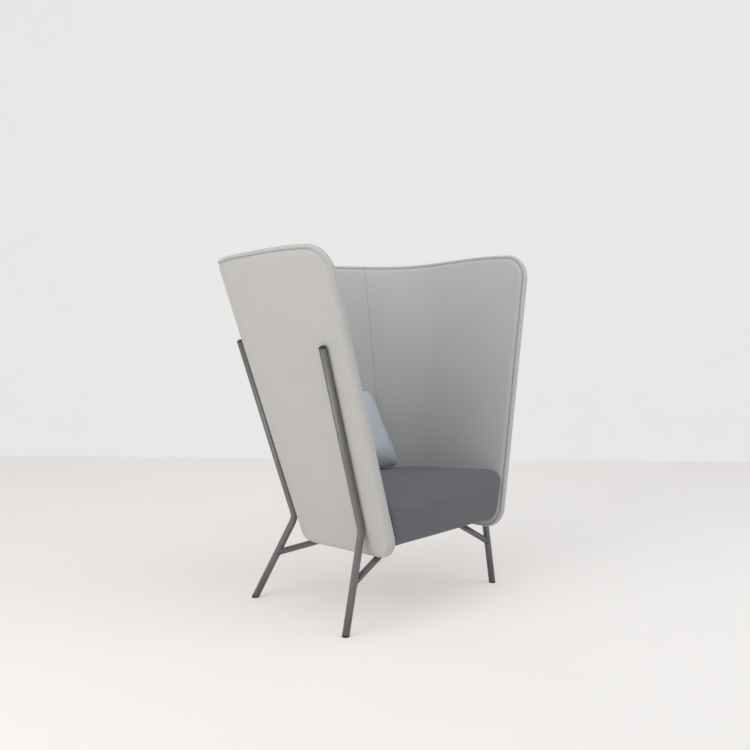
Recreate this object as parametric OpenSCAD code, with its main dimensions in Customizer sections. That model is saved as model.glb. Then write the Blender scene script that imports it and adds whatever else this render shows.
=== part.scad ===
// Acoustic high back lounge chair: a padded U-shaped shell carried by four bent tube legs.
// Millimetres, +Z up, front towards -Y. The origin lies on the floor, in the middle of the plan.

/* [Shell] */
// Height of the two front top corners above the floor
overall_h = 1256; // [1100:1:1400]
// Height of the shell's front bottom edge above the floor
shell_z = 246; // [220:1:290]
// Outer width across the wings at the bottom edge
low_w = 610; // [560:1:700]
// Outer width across the wings at the top edge
top_w = 1116; // [950:1:1200]
// Outer depth from the front edge to the back at the bottom edge
low_depth = 584; // [560:1:660]
// Outer depth from the front edge to the back at the top edge
top_depth = 807; // [740:1:880]
// How far the front edges lean back from bottom to top
front_lean = 71; // [20:1:90]
// Radius of the shell's rear corners at the bottom edge
low_corner_r = 207; // [200:1:260]
// Radius of the shell's rear corners at the top edge
top_corner_r = 310; // [260:1:340]
// Angle through which the curved back turns on each side of the middle
back_turn = 34.4; // [25:0.1:45]
// How far the top edge falls from the wings to the back
rim_drop = 41; // [20:1:70]
// How far the bottom edge falls from the front to the back
low_rim_drop = 11; // [0:1:30]
// Radius of the wings' top front corners
top_edge_r = 96; // [60:1:120]
// Radius of the wings' bottom front corners
low_edge_r = 68; // [60:1:110]

/* [Wall] */
// Thickness of the moulded plywood core
core_t = 9; // [7:0.5:12]
// Thickness of the outer cover with its padding
outer_t = 6; // [4:0.5:9]
// Thickness of the inner lining with its padding
inner_t = 14; // [10:0.5:18]
// Width of the rolled edge, through the wall
welt_w = 23; // [18:0.5:26]
// Height of the rolled edge, along the wall
welt_h = 14; // [10:0.5:18]
// Angle by which the lining's vertical seams lie past the rear corners, towards the middle
seam_shift = 2.8; // [1:0.1:8]

/* [Seat] */
// Height of the seat's top at the front
seat_h = 463; // [420:1:480]
// How far the seat's front face stands back from the wings' front edge
seat_setback = 12; // [8:1:30]
// Slope of the seat down towards the back, in degrees
seat_slope = 5.1; // [2:0.1:8]
// Radius of the seat's top front edge
seat_nose_r = 44; // [30:1:60]
// Radius of the seat's top edge beside the lining
seat_side_r = 15; // [8:1:24]
// Rise of the seat's crown above its edges
seat_crown = 12; // [4:1:24]
// Height of the seat board's underside above the floor
board_z = 290; // [275:1:305]
// Thickness of the plywood seat board
board_t = 15; // [12:1:21]

/* [Pillow] */
// Width of the loose back pillow
pillow_w = 502; // [420:1:560]
// Height of the loose back pillow
pillow_h = 340; // [300:1:400]
// Thickness of the pillow at its crown
pillow_t = 128; // [90:1:150]
// Lean of the pillow from upright, in degrees
pillow_lean = 30; // [18:0.5:32]

/* [Legs] */
// Outer diameter of the leg tubes
tube_d = 25; // [22:0.5:28]
// Outer diameter of the strut tubes
strut_d = 22; // [18:0.5:24]
// Wall thickness of the tubes
tube_wall = 2; // [1.5:0.25:3]
// Centre line radius of the bend in each leg
bend_r = 55; // [45:1:80]
// Distance from the shell's front edge back to the front legs
leg_inset = 121; // [90:1:150]
// Distance across the front feet, centre to centre
front_foot_w = 825; // [700:1:900]
// Distance across the rear feet, centre to centre
rear_foot_w = 668; // [560:1:760]
// Distance between the front feet and the rear feet, front to back
foot_base = 527; // [480:1:600]
// Height of the bend in the front legs
front_bend_z = 334; // [310:1:360]
// Height of the bend in the rear legs
rear_bend_z = 304; // [290:1:340]
// Height at which the leg tubes end, without their caps
leg_top_z = 936; // [700:1:980]
// How far the front legs lean back from the bend to the top
front_leg_lean = 32; // [0:1:60]
// Height at which the struts leave the legs
strut_z = 168; // [150:1:190]
// Angle round each rear corner where the rear leg lies, from the side
rear_leg_angle = 53; // [45:0.5:60]

/* [Fixings] */
// Width of the steel rails below the seat board
rail_w = 40; // [30:1:50]
// Thickness of the steel rails
rail_t = 8; // [5:0.5:10]
// Distance between the rails, centre to centre
rail_pitch = 322; // [280:2:400]
// Length of the rails
rail_len = 211; // [180:1:330]
// Thickness of the angle brackets between shell and seat board
bracket_t = 3; // [2:0.5:4]
// Width of a bracket's flat leg below the board
bracket_w = 34; // [28:1:45]
// Length of the angle brackets
bracket_len = 150; // [120:1:155]
// Diameter of the screws' shanks
screw_d = 6; // [5:0.5:6]

/* [Hidden] */
$fn = 48;

// Clearances
lay_gap = 0.3;      // between the layers of the wall, and round the soft pieces
fit_gap = 0.15;     // radial, round screws, spacers and plugs
rest_gap = 0.3;     // between pieces that rest on each other
overrun = 1;        // by which a cut passes the face it opens
// Finishes
outer_rgb = [0.745, 0.737, 0.714];
inner_rgb = [0.60, 0.62, 0.615];
seat_rgb = [0.38, 0.385, 0.41];
pillow_rgb = [0.66, 0.69, 0.73];
steel_rgb = [0.44, 0.43, 0.42];
cap_rgb = [0.10, 0.10, 0.10];
ply_rgb = [0.78, 0.66, 0.48];
zinc_rgb = [0.72, 0.73, 0.75];
// Shares of the top's depth between which the top edge falls to the back
fall_start_shares = 0.14;
fall_end_shares = 0.85;
// Shares of the driving sizes
bend_swell_share = 0.0032;
bend_entry_share = 0.028;
foot_share = 0.26;
plug_share = 0.56;
cap_share = 0.36;
cap_collar_share = 0.08;
lip_front_share = 0.46;
lip_side_share = 0.2;
lip_drop_share = 0.13;
front_bow_share = 0.0083;
pillow_edge_share = 0.125;
pillow_pull_share = 0.028;
pillow_full_share = 0.42;
pillow_round_share = 0.07;
pillow_round_power = 6;
arc_step = 0.25;
fix_share = 3;
spacer_share = 1.35;
bush_share = 0.95;
bush_len_share = 1.6;
leg_screw_share = 4.9;
head_share = 0.95;
head_h_share = 0.55;
insert_share = 0.8;
grip_share = 0.8;
// Counts of stations and rows in the shell's surfaces
edge_steps = 9;
wing_steps = 4;
corner_steps = 9;
back_steps = 5;
wall_rows = 2;
welt_rows = 8;
welt_sides = 10;

wall_t = outer_t + core_t + inner_t + 2 * lay_gap;
tube_r = tube_d / 2;
bore_r = tube_r - tube_wall;
screw_r = screw_d / 2;
strut_r = strut_d / 2;
bend_swell = tube_d * bend_swell_share;
bend_entry = tube_d * bend_entry_share;
foot_h = tube_d * foot_share;
plug_len = tube_d * plug_share;
cap_h = tube_d * cap_share;
cap_collar = tube_d * cap_collar_share;
spacer_r = screw_d * spacer_share;
bush_r = screw_d * bush_share;
bush_len = screw_d * bush_len_share;
leg_screw_len = screw_d * leg_screw_share;
head_r = screw_d * head_share;
head_h = screw_d * head_h_share;
insert_r = screw_d * insert_share;
insert_len = board_t * insert_share;
lip_front = low_edge_r * lip_front_share;
lip_side = seat_side_r * lip_side_share;
lip_drop = low_edge_r * lip_drop_share;
front_bow = low_w * front_bow_share;
pillow_edge_t = pillow_t * pillow_edge_share;
pillow_pull = pillow_w * pillow_pull_share;
turn_end = 90 - back_turn;
shell_rise = overall_h - shell_z;
rear_grow = front_lean + top_depth - low_depth;
front_y = -(low_depth + rear_grow * (1 - rim_drop / shell_rise)) / 2;
leg_y = front_y + leg_inset;
edge_run = max(top_edge_r, low_edge_r);

// The shell's outer surface: every size is linear in z, so its lines are straight
function rise_share(z) = (z - shell_z) / shell_rise;
function half_w(z) = (low_w + (top_w - low_w) * rise_share(z)) / 2;
function corner_r(z) = low_corner_r + (top_corner_r - low_corner_r) * rise_share(z);
function edge_y(z) = front_y + front_lean * rise_share(z);
function back_y(z) = front_y + low_depth + rear_grow * rise_share(z);
function turn_x(z) = half_w(z) - corner_r(z) * (1 - cos(turn_end));
function back_r(z) = turn_x(z) / cos(turn_end);
function corner_y(z) = back_y(z) - corner_r(z) * sin(turn_end) - back_r(z) * (1 - sin(turn_end));
// Rates of change with z
flare = (top_w - low_w) / 2 / shell_rise;
corner_rate = (top_corner_r - low_corner_r) / shell_rise;
back_rate = rear_grow / shell_rise;
back_r_rate = (flare - corner_rate * (1 - cos(turn_end))) / cos(turn_end);
corner_y_rate = back_rate - corner_rate * sin(turn_end) - back_r_rate * (1 - sin(turn_end));

// A station is [kind, value]: 0 run from the front edge, 1 share of the wing, 2 corner angle, 3 back angle
function slope_at(st) = st[0] < 2 ? flare
    : st[0] == 2 ? (flare - corner_rate) * cos(st[1]) + corner_y_rate * sin(st[1]) + corner_rate
    : (back_rate - back_r_rate) * sin(st[1]) + back_r_rate;
function plan_normal(st) = st[0] < 2 ? [1, 0] : [cos(st[1]), sin(st[1])];
function surface_normal(st) = let (m = slope_at(st), e = plan_normal(st)) [e[0], e[1], -m] / sqrt(1 + m * m);
function plan_point(st, z) =
    st[0] == 0 ? [half_w(z), edge_y(z) + st[1]]
    : st[0] == 1 ? [half_w(z), edge_y(z) + edge_run + st[1] * (corner_y(z) - edge_y(z) - edge_run)]
    : st[0] == 2 ? [half_w(z) - corner_r(z) * (1 - cos(st[1])), corner_y(z) + corner_r(z) * sin(st[1])]
    : [back_r(z) * cos(st[1]), back_y(z) - back_r(z) * (1 - sin(st[1]))];
function shell_point(st, z, deep) = let (p = plan_point(st, z)) [p[0], p[1], z] - deep * surface_normal(st);
// The same, moved inwards level with the floor, so that its height stays
function level_point(st, z, deep) = let (p = plan_point(st, z), m = slope_at(st))
    [p[0], p[1]] - deep * sqrt(1 + m * m) * plan_normal(st);

function smooth(x) = let (t = max(0, min(1, x))) t * t * (3 - 2 * t);
function plan_y(st) = plan_point(st, overall_h - rim_drop)[1] - edge_y(overall_h - rim_drop);
function rim_top(st) = overall_h - rim_drop
    * smooth((plan_y(st) / top_depth - fall_start_shares) / (fall_end_shares - fall_start_shares));
function rim_low(st) = shell_z - low_rim_drop * min(1, plan_y(st) / top_depth);
// Height lost to a round corner of radius r at a run u from the front edge, both less the inset
function corner_loss(u, r) = u >= r ? 0 : r - sqrt(max(0, r * r - (r - u) * (r - u)));
function top_z(st, inset) = rim_top(st) - inset
    - (st[0] == 0 ? corner_loss(st[1] - inset, top_edge_r - inset) : 0);
function low_z(st, inset) = rim_low(st) + inset
    + (st[0] == 0 ? corner_loss(st[1] - inset, low_edge_r - inset) : 0);

// Stations of the right half, from the front edge to the middle of the back
function wing_stations(inset) = concat(
    [for (i = [0 : edge_steps]) [0, inset + (edge_run - inset) * (1 - cos(90 * i / edge_steps))]],
    [for (i = [1 : wing_steps]) [1, i / wing_steps]]);
corner_stations = [for (i = [1 : corner_steps]) [2, turn_end * i / corner_steps]];
// The back, from the lining's seam to the middle
seam_st = turn_end + seam_shift;
back_stations = [for (i = [0 : back_steps]) [3, seam_st + (90 - seam_st) * i / back_steps]];

function flip(p) = [-p[0], p[1], p[2]];
function reversed(v) = [for (i = [len(v) - 1 : -1 : 0]) v[i]];
// One column of points for each station: rows from the bottom edge to the top edge
function column(st, inset, deep) = [for (j = [0 : wall_rows])
    shell_point(st, low_z(st, inset) + (top_z(st, inset) - low_z(st, inset)) * j / wall_rows, deep)];
function columns(sts, inset, deep) = [for (st = sts) column(st, inset, deep)];
function mirrored(cols) = [for (c = reversed(cols)) [for (p = c) flip(p)]];

// A curved slab between two grids of the same size: a is the outer face and b the inner one
module slab(a, b) {
    nc = len(a);
    nr = len(a[0]);
    half = nc * nr;
    pts = concat([for (c = a) for (p = c) p], [for (c = b) for (p = c) p]);
    quads = concat(
        [for (i = [0 : nc - 2]) for (j = [0 : nr - 2])
            [i * nr + j, (i + 1) * nr + j, (i + 1) * nr + j + 1, i * nr + j + 1]],
        [for (i = [0 : nc - 2]) for (j = [0 : nr - 2])
            [half + i * nr + j, half + i * nr + j + 1, half + (i + 1) * nr + j + 1, half + (i + 1) * nr + j]],
        [for (i = [0 : nc - 2]) [i * nr, half + i * nr, half + (i + 1) * nr, (i + 1) * nr]],
        [for (i = [0 : nc - 2]) let (k = nr - 1)
            [i * nr + k, (i + 1) * nr + k, half + (i + 1) * nr + k, half + i * nr + k]],
        [for (j = [0 : nr - 2]) [j, j + 1, half + j + 1, half + j]],
        [for (j = [0 : nr - 2]) let (k = (nc - 1) * nr)
            [k + j, half + k + j, half + k + j + 1, k + j + 1]]);
    polyhedron(points = pts, faces = triangles(quads));
}
function triangles(quads) = [for (q = quads) each [[q[2], q[1], q[0]], [q[3], q[2], q[0]]]];

full_inset = welt_h + lay_gap;
function rim_stations(inset) = concat(wing_stations(inset), corner_stations, back_stations);
function half_columns(deep) = columns(rim_stations(full_inset), full_inset, deep);
function whole_columns(deep) = let (h = half_columns(deep))
    concat(h, [for (i = [len(h) - 2 : -1 : 0]) [for (p = h[i]) flip(p)]]);
seam_turn = atan(lay_gap / 2 / back_r(shell_z));

core_deep = outer_t + lay_gap;
core_end = core_deep + core_t;
pad_deep = core_end + lay_gap;

// Where the legs lie against the shell: the front ones on the flat wing, the rear ones on a corner line
stand_off = tube_r + rest_gap;
rear_st = [2, rear_leg_angle];
function front_leg_x(z) = half_w(z) + stand_off * sqrt(1 + flare * flare);
function rear_leg_point(z) = shell_point(rear_st, z, -stand_off);
front_path = [[front_foot_w / 2, leg_y, 0], [front_leg_x(front_bend_z), leg_y, front_bend_z],
    [front_leg_x(leg_top_z), leg_y + front_leg_lean, leg_top_z]];
rear_path = [[rear_foot_w / 2, leg_y + foot_base, 0], rear_leg_point(rear_bend_z), rear_leg_point(leg_top_z)];
function unit(v) = v / norm(v);
function along(a, b, z) = a + (b - a) * (z - a[2]) / (b[2] - a[2]);

// Places of the two fixings on each leg: [point on the tube's centre line, outward normal]
fix_low_z = front_bend_z + bend_r * fix_share;
fix_high_z = leg_top_z - bend_r * fix_share;
function front_fix(z) = [along(front_path[1], front_path[2], z), surface_normal([0, 0])];
function rear_fix(z) = [along(rear_path[1], rear_path[2], z), surface_normal(rear_st)];
fixes = [front_fix(fix_low_z), front_fix(fix_high_z), rear_fix(fix_low_z), rear_fix(fix_high_z)];

// Puts its children on a point with +Z along a direction
module aim(p, d) {
    translate(p) rotate([0, acos(d[2] / norm(d)), atan2(d[1], d[0])]) children();
}
// Both sides of the chair, right as drawn and left mirrored
module both() {
    children();
    mirror([1, 0, 0]) children();
}
module side(s) {
    if (s > 0) children();
    else mirror([1, 0, 0]) children();
}
// A cylinder through each fixing, from one depth below the shell's outer face to another
module at_fixes(from, to, r) {
    for (f = fixes)
        aim(f[0] - f[1] * (stand_off + to), f[1]) cylinder(r = r, h = to - from);
}

module shell_core() {
    color(ply_rgb) difference() {
        slab(whole_columns(core_deep), whole_columns(core_end));
        both() at_fixes(core_deep - overrun, core_end + overrun, screw_r + fit_gap);
        both() at_wall_fixes(core_end - core_t * grip_share, core_end + overrun, screw_r + fit_gap);
        both() at_fixes(core_end - head_h - rest_gap, core_end + overrun, head_r + fit_gap);
    }
}

module outer_cover() {
    color(outer_rgb) difference() {
        slab(whole_columns(0), whole_columns(outer_t));
        both() at_fixes(-overrun, outer_t + overrun, spacer_r + lay_gap);
    }
}

module side_pad(s) {
    sts = concat(wing_stations(full_inset), corner_stations, [[3, seam_st - seam_turn]]);
    color(inner_rgb) side(s) difference() {
        slab(columns(sts, full_inset, pad_deep), columns(sts, full_inset, wall_t));
        at_wall_fixes(core_end, wall_t + overrun, screw_r + fit_gap);
    }
}

module inner_back_pad() {
    sts = concat([[3, seam_st + seam_turn]], [for (i = [1 : back_steps]) back_stations[i]]);
    function cols(deep) = let (h = columns(sts, full_inset, deep))
        concat(h, [for (i = [len(h) - 2 : -1 : 0]) [for (p = h[i]) flip(p)]]);
    color(inner_rgb) slab(cols(pad_deep), cols(wall_t));
}

// The rolled edge: a closed loop of rings on the middle line of the rim
welt_deep = welt_w / 2;
welt_inset = welt_h / 2;
function rim_half() = rim_stations(welt_inset);
function front_rows() = let (st = rim_half()[0], lo = low_z(st, welt_inset), hi = top_z(st, welt_inset))
    [for (j = [1 : welt_rows - 1]) [st, lo + (hi - lo) * j / welt_rows]];
// Path of [station, height, side], from the back's middle along the top, down, and back along the bottom
function rim_path() = let (h = rim_half(), n = len(h))
    concat([for (i = [n - 1 : -1 : 0]) [h[i], top_z(h[i], welt_inset), 1]],
        [for (f = reversed(front_rows())) [f[0], f[1], 1]],
        [for (i = [0 : n - 1]) [h[i], low_z(h[i], welt_inset), 1]],
        [for (i = [n - 2 : -1 : 0]) [h[i], low_z(h[i], welt_inset), -1]],
        [for (f = front_rows()) [f[0], f[1], -1]],
        [for (i = [0 : n - 2]) [h[i], top_z(h[i], welt_inset), -1]]);
function on_side(p, s) = [s * p[0], p[1], p[2]];
function ring(path, i) = let (n = len(path),
    p = on_side(shell_point(path[i][0], path[i][1], welt_deep), path[i][2]),
    a = let (q = path[(i + n - 1) % n]) on_side(shell_point(q[0], q[1], welt_deep), q[2]),
    b = let (q = path[(i + 1) % n]) on_side(shell_point(q[0], q[1], welt_deep), q[2]),
    out = on_side(surface_normal(path[i][0]), path[i][2]),
    up = unit(cross(unit(b - a), out)))
    [for (k = [0 : welt_sides - 1]) let (t = 360 * (k + 0.5) / welt_sides)
        p + out * welt_w / 2 * cos(t) / cos(180 / welt_sides) + up * welt_h / 2 * sin(t)];

module edge_welt() {
    path = rim_path();
    n = len(path);
    m = welt_sides;
    color(outer_rgb) polyhedron(
        points = [for (i = [0 : n - 1]) each ring(path, i)],
        faces = triangles([for (i = [0 : n - 1]) for (k = [0 : m - 1])
            [i * m + k, i * m + (k + 1) % m, ((i + 1) % n) * m + (k + 1) % m, ((i + 1) % n) * m + k]]));
}

// The seat: rings of one plan outline, which follows the lining round the back
seat_gap = wall_t + lay_gap;
seat_low_r = low_edge_r - seat_setback;
seat_edge_z = shell_z + seat_setback;
board_top = board_z + board_t;
seat_back_z = seat_h - (low_depth - wall_t) * tan(seat_slope);
front_points = 9;
side_points = 7;
seat_front_y = front_y + seat_setback + front_lean * rise_share((seat_edge_z + seat_h) / 2);

// Plan outline at a height: the front from left to right, then the right side, the back and the left side
function seat_side_points(z, side_in, front_in) =
    let (y0 = seat_front_y + front_in, y1 = corner_y(z),
        x0 = level_point([0, 0], z, seat_gap + side_in)[0])
    concat([for (i = [0 : side_points - 1]) [x0, y0 + (y1 - y0) * i / side_points]],
        [for (i = [0 : corner_steps]) level_point([2, turn_end * i / corner_steps], z, seat_gap + side_in)],
        [for (st = back_stations) level_point(st, z, seat_gap + side_in)]);
function seat_outline(z, side_in, front_in) =
    let (r = seat_side_points(z, side_in, front_in), n = len(r), w = r[0][0])
    concat([for (i = [1 : front_points]) let (x = w * (2 * i / (front_points + 1) - 1))
            [x, r[0][1] - front_bow * (1 - x * x / w / w)]],
        r, [for (i = [n - 2 : -1 : 0]) [-r[i][0], r[i][1]]]);
// 1 at the front face, fading to 0 along the sides
function front_share(y) = 1 - smooth((y - seat_front_y) / seat_nose_r / 2);
// The cushion's lower edge: it hangs in front of the board and ends just above the brackets
function lip_share(y) = 1 - smooth((y - seat_front_y - seat_low_r) / seat_nose_r);
function lip_z(y) = board_z + rest_gap - (lip_drop + rest_gap) * lip_share(y);
function seat_top_z(y) = seat_h - max(0, y - seat_front_y - seat_nose_r) * tan(seat_slope);
// A ring part way round the top edge: t goes from 0 on the wall to 90 on top
function nose_ring(t) = let (base = seat_outline(seat_h - seat_nose_r, 0, 0))
    [for (i = [0 : len(base) - 1]) let (f = front_share(base[i][1]),
        z = seat_top_z(base[i][1]) - (seat_side_r + (seat_nose_r - seat_side_r) * f) * (1 - sin(t)),
        p = seat_outline(z, seat_side_r * (1 - cos(t)) * (1 - f), seat_nose_r * (1 - cos(t)) * f)[i])
    [p[0], p[1], z]];
seat_mid_y = seat_front_y + (low_depth - wall_t) / 2;
function level_ring(z, side_in, front_in) = [for (p = seat_outline(z, side_in, front_in)) [p[0], p[1], z]];
// A ring part way round the bottom front edge: t goes from 0 below to 90 on the face
function heel_ring(t) = let (z = seat_edge_z + seat_low_r * (1 - cos(t)))
    [for (p = seat_outline(z, 0, seat_low_r * (1 - sin(t)))) [p[0], p[1],
        max(z, lip_z(p[1]))]];
crown_shares = [0.86, 0.62, 0.34];
function crown_ring(s) = [for (p = nose_ring(90)) let (q = [p[0] * s, seat_mid_y + (p[1] - seat_mid_y) * s])
    [q[0], q[1], seat_top_z(q[1]) + seat_crown * (1 - s * s)]];

// Joins rings of equal length into a closed solid, capped by fans at both ends
module rings_solid(rings, low_tip, high_tip) {
    n = len(rings[0]);
    m = len(rings);
    pts = concat([for (r = rings) for (p = r) p], [low_tip, high_tip]);
    walls = [for (j = [0 : m - 2]) for (i = [0 : n - 1])
        [j * n + i, j * n + (i + 1) % n, (j + 1) * n + (i + 1) % n, (j + 1) * n + i]];
    caps = concat([for (i = [0 : n - 1]) [m * n, i, (i + 1) % n]],
        [for (i = [0 : n - 1]) [m * n + 1, (m - 1) * n + (i + 1) % n, (m - 1) * n + i]]);
    polyhedron(points = pts, faces = concat(triangles(walls), caps));
}

pocket_side = lip_side;
module seat_cushion() {
    rings = concat(
        [level_ring(board_top, pocket_side, lip_front)],
        [[for (p = level_ring(board_z, pocket_side, lip_front)) [p[0], p[1], lip_z(p[1])]]],
        [for (t = [50, 70, 90]) heel_ring(t)],
        [for (t = [0 : 22.5 : 90]) nose_ring(t)],
        [for (s = crown_shares) crown_ring(s)]);
    color(seat_rgb) rings_solid(rings, [0, seat_mid_y, board_top],
        [0, seat_mid_y, seat_top_z(seat_mid_y) + seat_crown]);
}

module board_outline(z) {
    polygon(seat_outline(z, pocket_side + lay_gap, lip_front + lay_gap + front_bow));
}

module seat_board() {
    color(ply_rgb) difference() {
        translate([0, 0, board_z]) linear_extrude(board_t - lay_gap) board_outline(board_z);
        both() for (y = rail_hole_ys) translate([rail_pitch / 2, y, board_z - overrun])
            cylinder(r = insert_r, h = insert_len + overrun);
        both() for (y = bracket_hole_ys) translate([bracket_hole_x, y, board_z - overrun])
            cylinder(r = screw_r, h = insert_len + overrun);
    }
}

// The loose pillow: two crowned faces that meet in an edge, with sides drawn in between the corners
pillow_cols = 20;
pillow_rows = 14;
function spread(i, n) = sin(90 * (2 * i / n - 1));
function pillow_bulge(u, v) = pow(max(0, (1 - u * u) * (1 - v * v)), pillow_full_share);
// The corners are rounded by drawing them towards the middle
function pillow_round(u, v) = 1 - pillow_round_share * pow(u * v, pillow_round_power);
function pillow_point(i, j, s) = let (u = spread(i, pillow_cols), v = spread(j, pillow_rows),
    draw = pillow_round(u, v), x = u * (pillow_w / 2 - pillow_pull * (1 - v * v)),
    y = v * (pillow_h / 2 - pillow_pull * (1 - u * u)))
    [x * draw, y * draw, s * (pillow_edge_t + (pillow_t - pillow_edge_t) * pillow_bulge(u, v)) / 2];
pillow_lift = seat_crown - pillow_pull + pillow_edge_t * sin(pillow_lean) / 2 + rest_gap;
// How far back the lining lies at a width x from the middle and a height
function lining_y(x, z) = max([for (a = [0 : arc_step : 90])
    let (p = level_point([a < turn_end ? 2 : 3, a], z, seat_gap)) if (p[0] >= x) p[1]]);
// The pillow's back leans on the lining: the room behind its foot that one of its points leaves
function lean_room(p) = let (up = p[1] + pillow_h / 2,
    z = seat_top_z(0) + pillow_lift + up * cos(pillow_lean) + p[2] * sin(pillow_lean))
    lining_y(p[0], z) - up * sin(pillow_lean) + p[2] * cos(pillow_lean);
function pillow_base_y() = min([for (i = [pillow_cols / 2 : pillow_cols]) for (j = [0 : pillow_rows])
    lean_room(pillow_point(i, j, -1))]) - rest_gap;

module back_pillow() {
    foot_y = pillow_base_y();
    nc = pillow_cols;
    nr = pillow_rows;
    k = nr + 1;
    half = (nc + 1) * k;
    pts = [for (s = [1, -1]) for (i = [0 : nc]) for (j = [0 : nr]) pillow_point(i, j, s)];
    quads = concat(
        [for (i = [0 : nc - 1]) for (j = [0 : nr - 1])
            [i * k + j, (i + 1) * k + j, (i + 1) * k + j + 1, i * k + j + 1]],
        [for (i = [0 : nc - 1]) for (j = [0 : nr - 1])
            [half + i * k + j, half + i * k + j + 1, half + (i + 1) * k + j + 1, half + (i + 1) * k + j]],
        [for (i = [0 : nc - 1]) [i * k, half + i * k, half + (i + 1) * k, (i + 1) * k]],
        [for (i = [0 : nc - 1]) [i * k + nr, (i + 1) * k + nr, half + (i + 1) * k + nr, half + i * k + nr]],
        [for (j = [0 : nr - 1]) [j, j + 1, half + j + 1, half + j]],
        [for (j = [0 : nr - 1]) [nc * k + j, half + nc * k + j, half + nc * k + j + 1, nc * k + j + 1]]);
    color(pillow_rgb) translate([0, foot_y, seat_top_z(foot_y) + pillow_lift])
        rotate([90 - pillow_lean, 0, 0]) translate([0, pillow_h / 2, 0])
        polyhedron(points = pts, faces = triangles(quads));
}

// A straight hollow tube from a to b
module tube(a, b, r_out, r_in) {
    aim(a, b - a) linear_extrude(norm(b - a)) difference() {
        circle(r_out);
        if (r_in > 0) circle(r_in);
    }
}
// A straight run of the tube, from one place to another along the path
module run(from, to) {
    translate([bend_r, to, 0]) rotate([90, 0, 0]) linear_extrude(to - from) difference() {
        circle(tube_r);
        circle(bore_r);
    }
}
// A tube with one round bend, drawn in the plane of its path. The bend swells by a hair, for the runs' ends
module bent_tube(path) {
    u1 = unit(path[1] - path[0]);
    u2 = unit(path[2] - path[1]);
    turn = acos(u1 * u2);
    reach = bend_r * tan(turn / 2);
    inward = unit(u2 - u1 * (u1 * u2));
    z = cross(-inward, u1);
    c = path[1] - u1 * reach + inward * bend_r;
    low_len = norm(path[1] - path[0]) - foot_h / u1[2] - reach;
    high_len = norm(path[2] - path[1]) - reach;
    multmatrix([[-inward[0], u1[0], z[0], c[0]], [-inward[1], u1[1], z[1], c[1]],
        [-inward[2], u1[2], z[2], c[2]], [0, 0, 0, 1]]) union() {
        run(-low_len, bend_entry);
        rotate_extrude(angle = turn) translate([bend_r, 0]) difference() {
            circle(tube_r + bend_swell);
            circle(bore_r - bend_swell);
        }
        rotate([0, 0, turn]) run(-bend_entry, high_len);
    }
}
module leg(path, holes) {
    color(steel_rgb) difference() {
        bent_tube(path);
        for (f = holes) aim(f[0] - f[1] * (tube_r + overrun), f[1])
            cylinder(r = bush_r + fit_gap, h = tube_r);
    }
}
module front_leg() { leg(front_path, [fixes[0], fixes[1]]); }
module rear_leg() { leg(rear_path, [fixes[2], fixes[3]]); }

// Struts run from the legs up to the rails
rail_z = board_z - rail_t;
rail_y0 = leg_y - rail_w / 2;
front_strut_end = [rail_pitch / 2, leg_y, rail_z];
rear_strut_end = [rail_pitch / 2, rail_y0 + rail_len - tube_d, rail_z];
module strut(path, end) {
    start = along(path[0], path[1], strut_z);
    d = unit(end - start);
    color(steel_rgb) difference() {
        tube(start, end + d * tube_d, strut_r, strut_r - tube_wall);
        tube(path[0], path[1], tube_r + fit_gap, 0);
        translate([end[0] - tube_d * 2, end[1] - tube_d * 2, rail_z]) cube(tube_d * 4);
    }
}

rail_hole_shares = [0.3, 0.55, 0.72];
rail_hole_ys = [for (s = rail_hole_shares) rail_y0 + rail_len * s];
module rail() {
    color(steel_rgb) difference() {
        translate([rail_pitch / 2 - rail_w / 2, rail_y0, rail_z]) cube([rail_w, rail_len, rail_t]);
        for (y = rail_hole_ys) translate([rail_pitch / 2, y, rail_z - overrun])
            cylinder(r = screw_r + fit_gap, h = rail_t + 2 * overrun);
    }
}

// An angle bracket: its flat leg below the board and its upright leg against the lining
bracket_y0 = seat_front_y + seat_low_r + 2 * seat_nose_r;
bracket_hole_ys = [bracket_y0 + bracket_len / 4, bracket_y0 + bracket_len * 3 / 4];
bracket_top_x = level_point([0, 0], board_z, wall_t + rest_gap)[0];
bracket_low_z = shell_z + full_inset;
bracket_low_x = level_point([0, 0], bracket_low_z, wall_t + rest_gap)[0];
bracket_hole_x = bracket_top_x - bracket_w / 2;
module bracket() {
    color(zinc_rgb) difference() {
        translate([0, bracket_y0 + bracket_len, 0]) rotate([90, 0, 0]) linear_extrude(bracket_len)
            polygon([[bracket_top_x, board_z], [bracket_low_x, bracket_low_z],
                [bracket_low_x - bracket_t, bracket_low_z], [bracket_top_x - bracket_t, board_z - bracket_t],
                [bracket_top_x - bracket_w, board_z - bracket_t], [bracket_top_x - bracket_w, board_z]]);
        for (y = bracket_hole_ys) translate([bracket_hole_x, y, board_z - bracket_t - overrun])
            cylinder(r = screw_r + fit_gap, h = bracket_t + 2 * overrun);
        at_wall_fixes(wall_t - overrun, wall_t + bracket_t + 2 * overrun, screw_r + fit_gap);
    }
}
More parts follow.
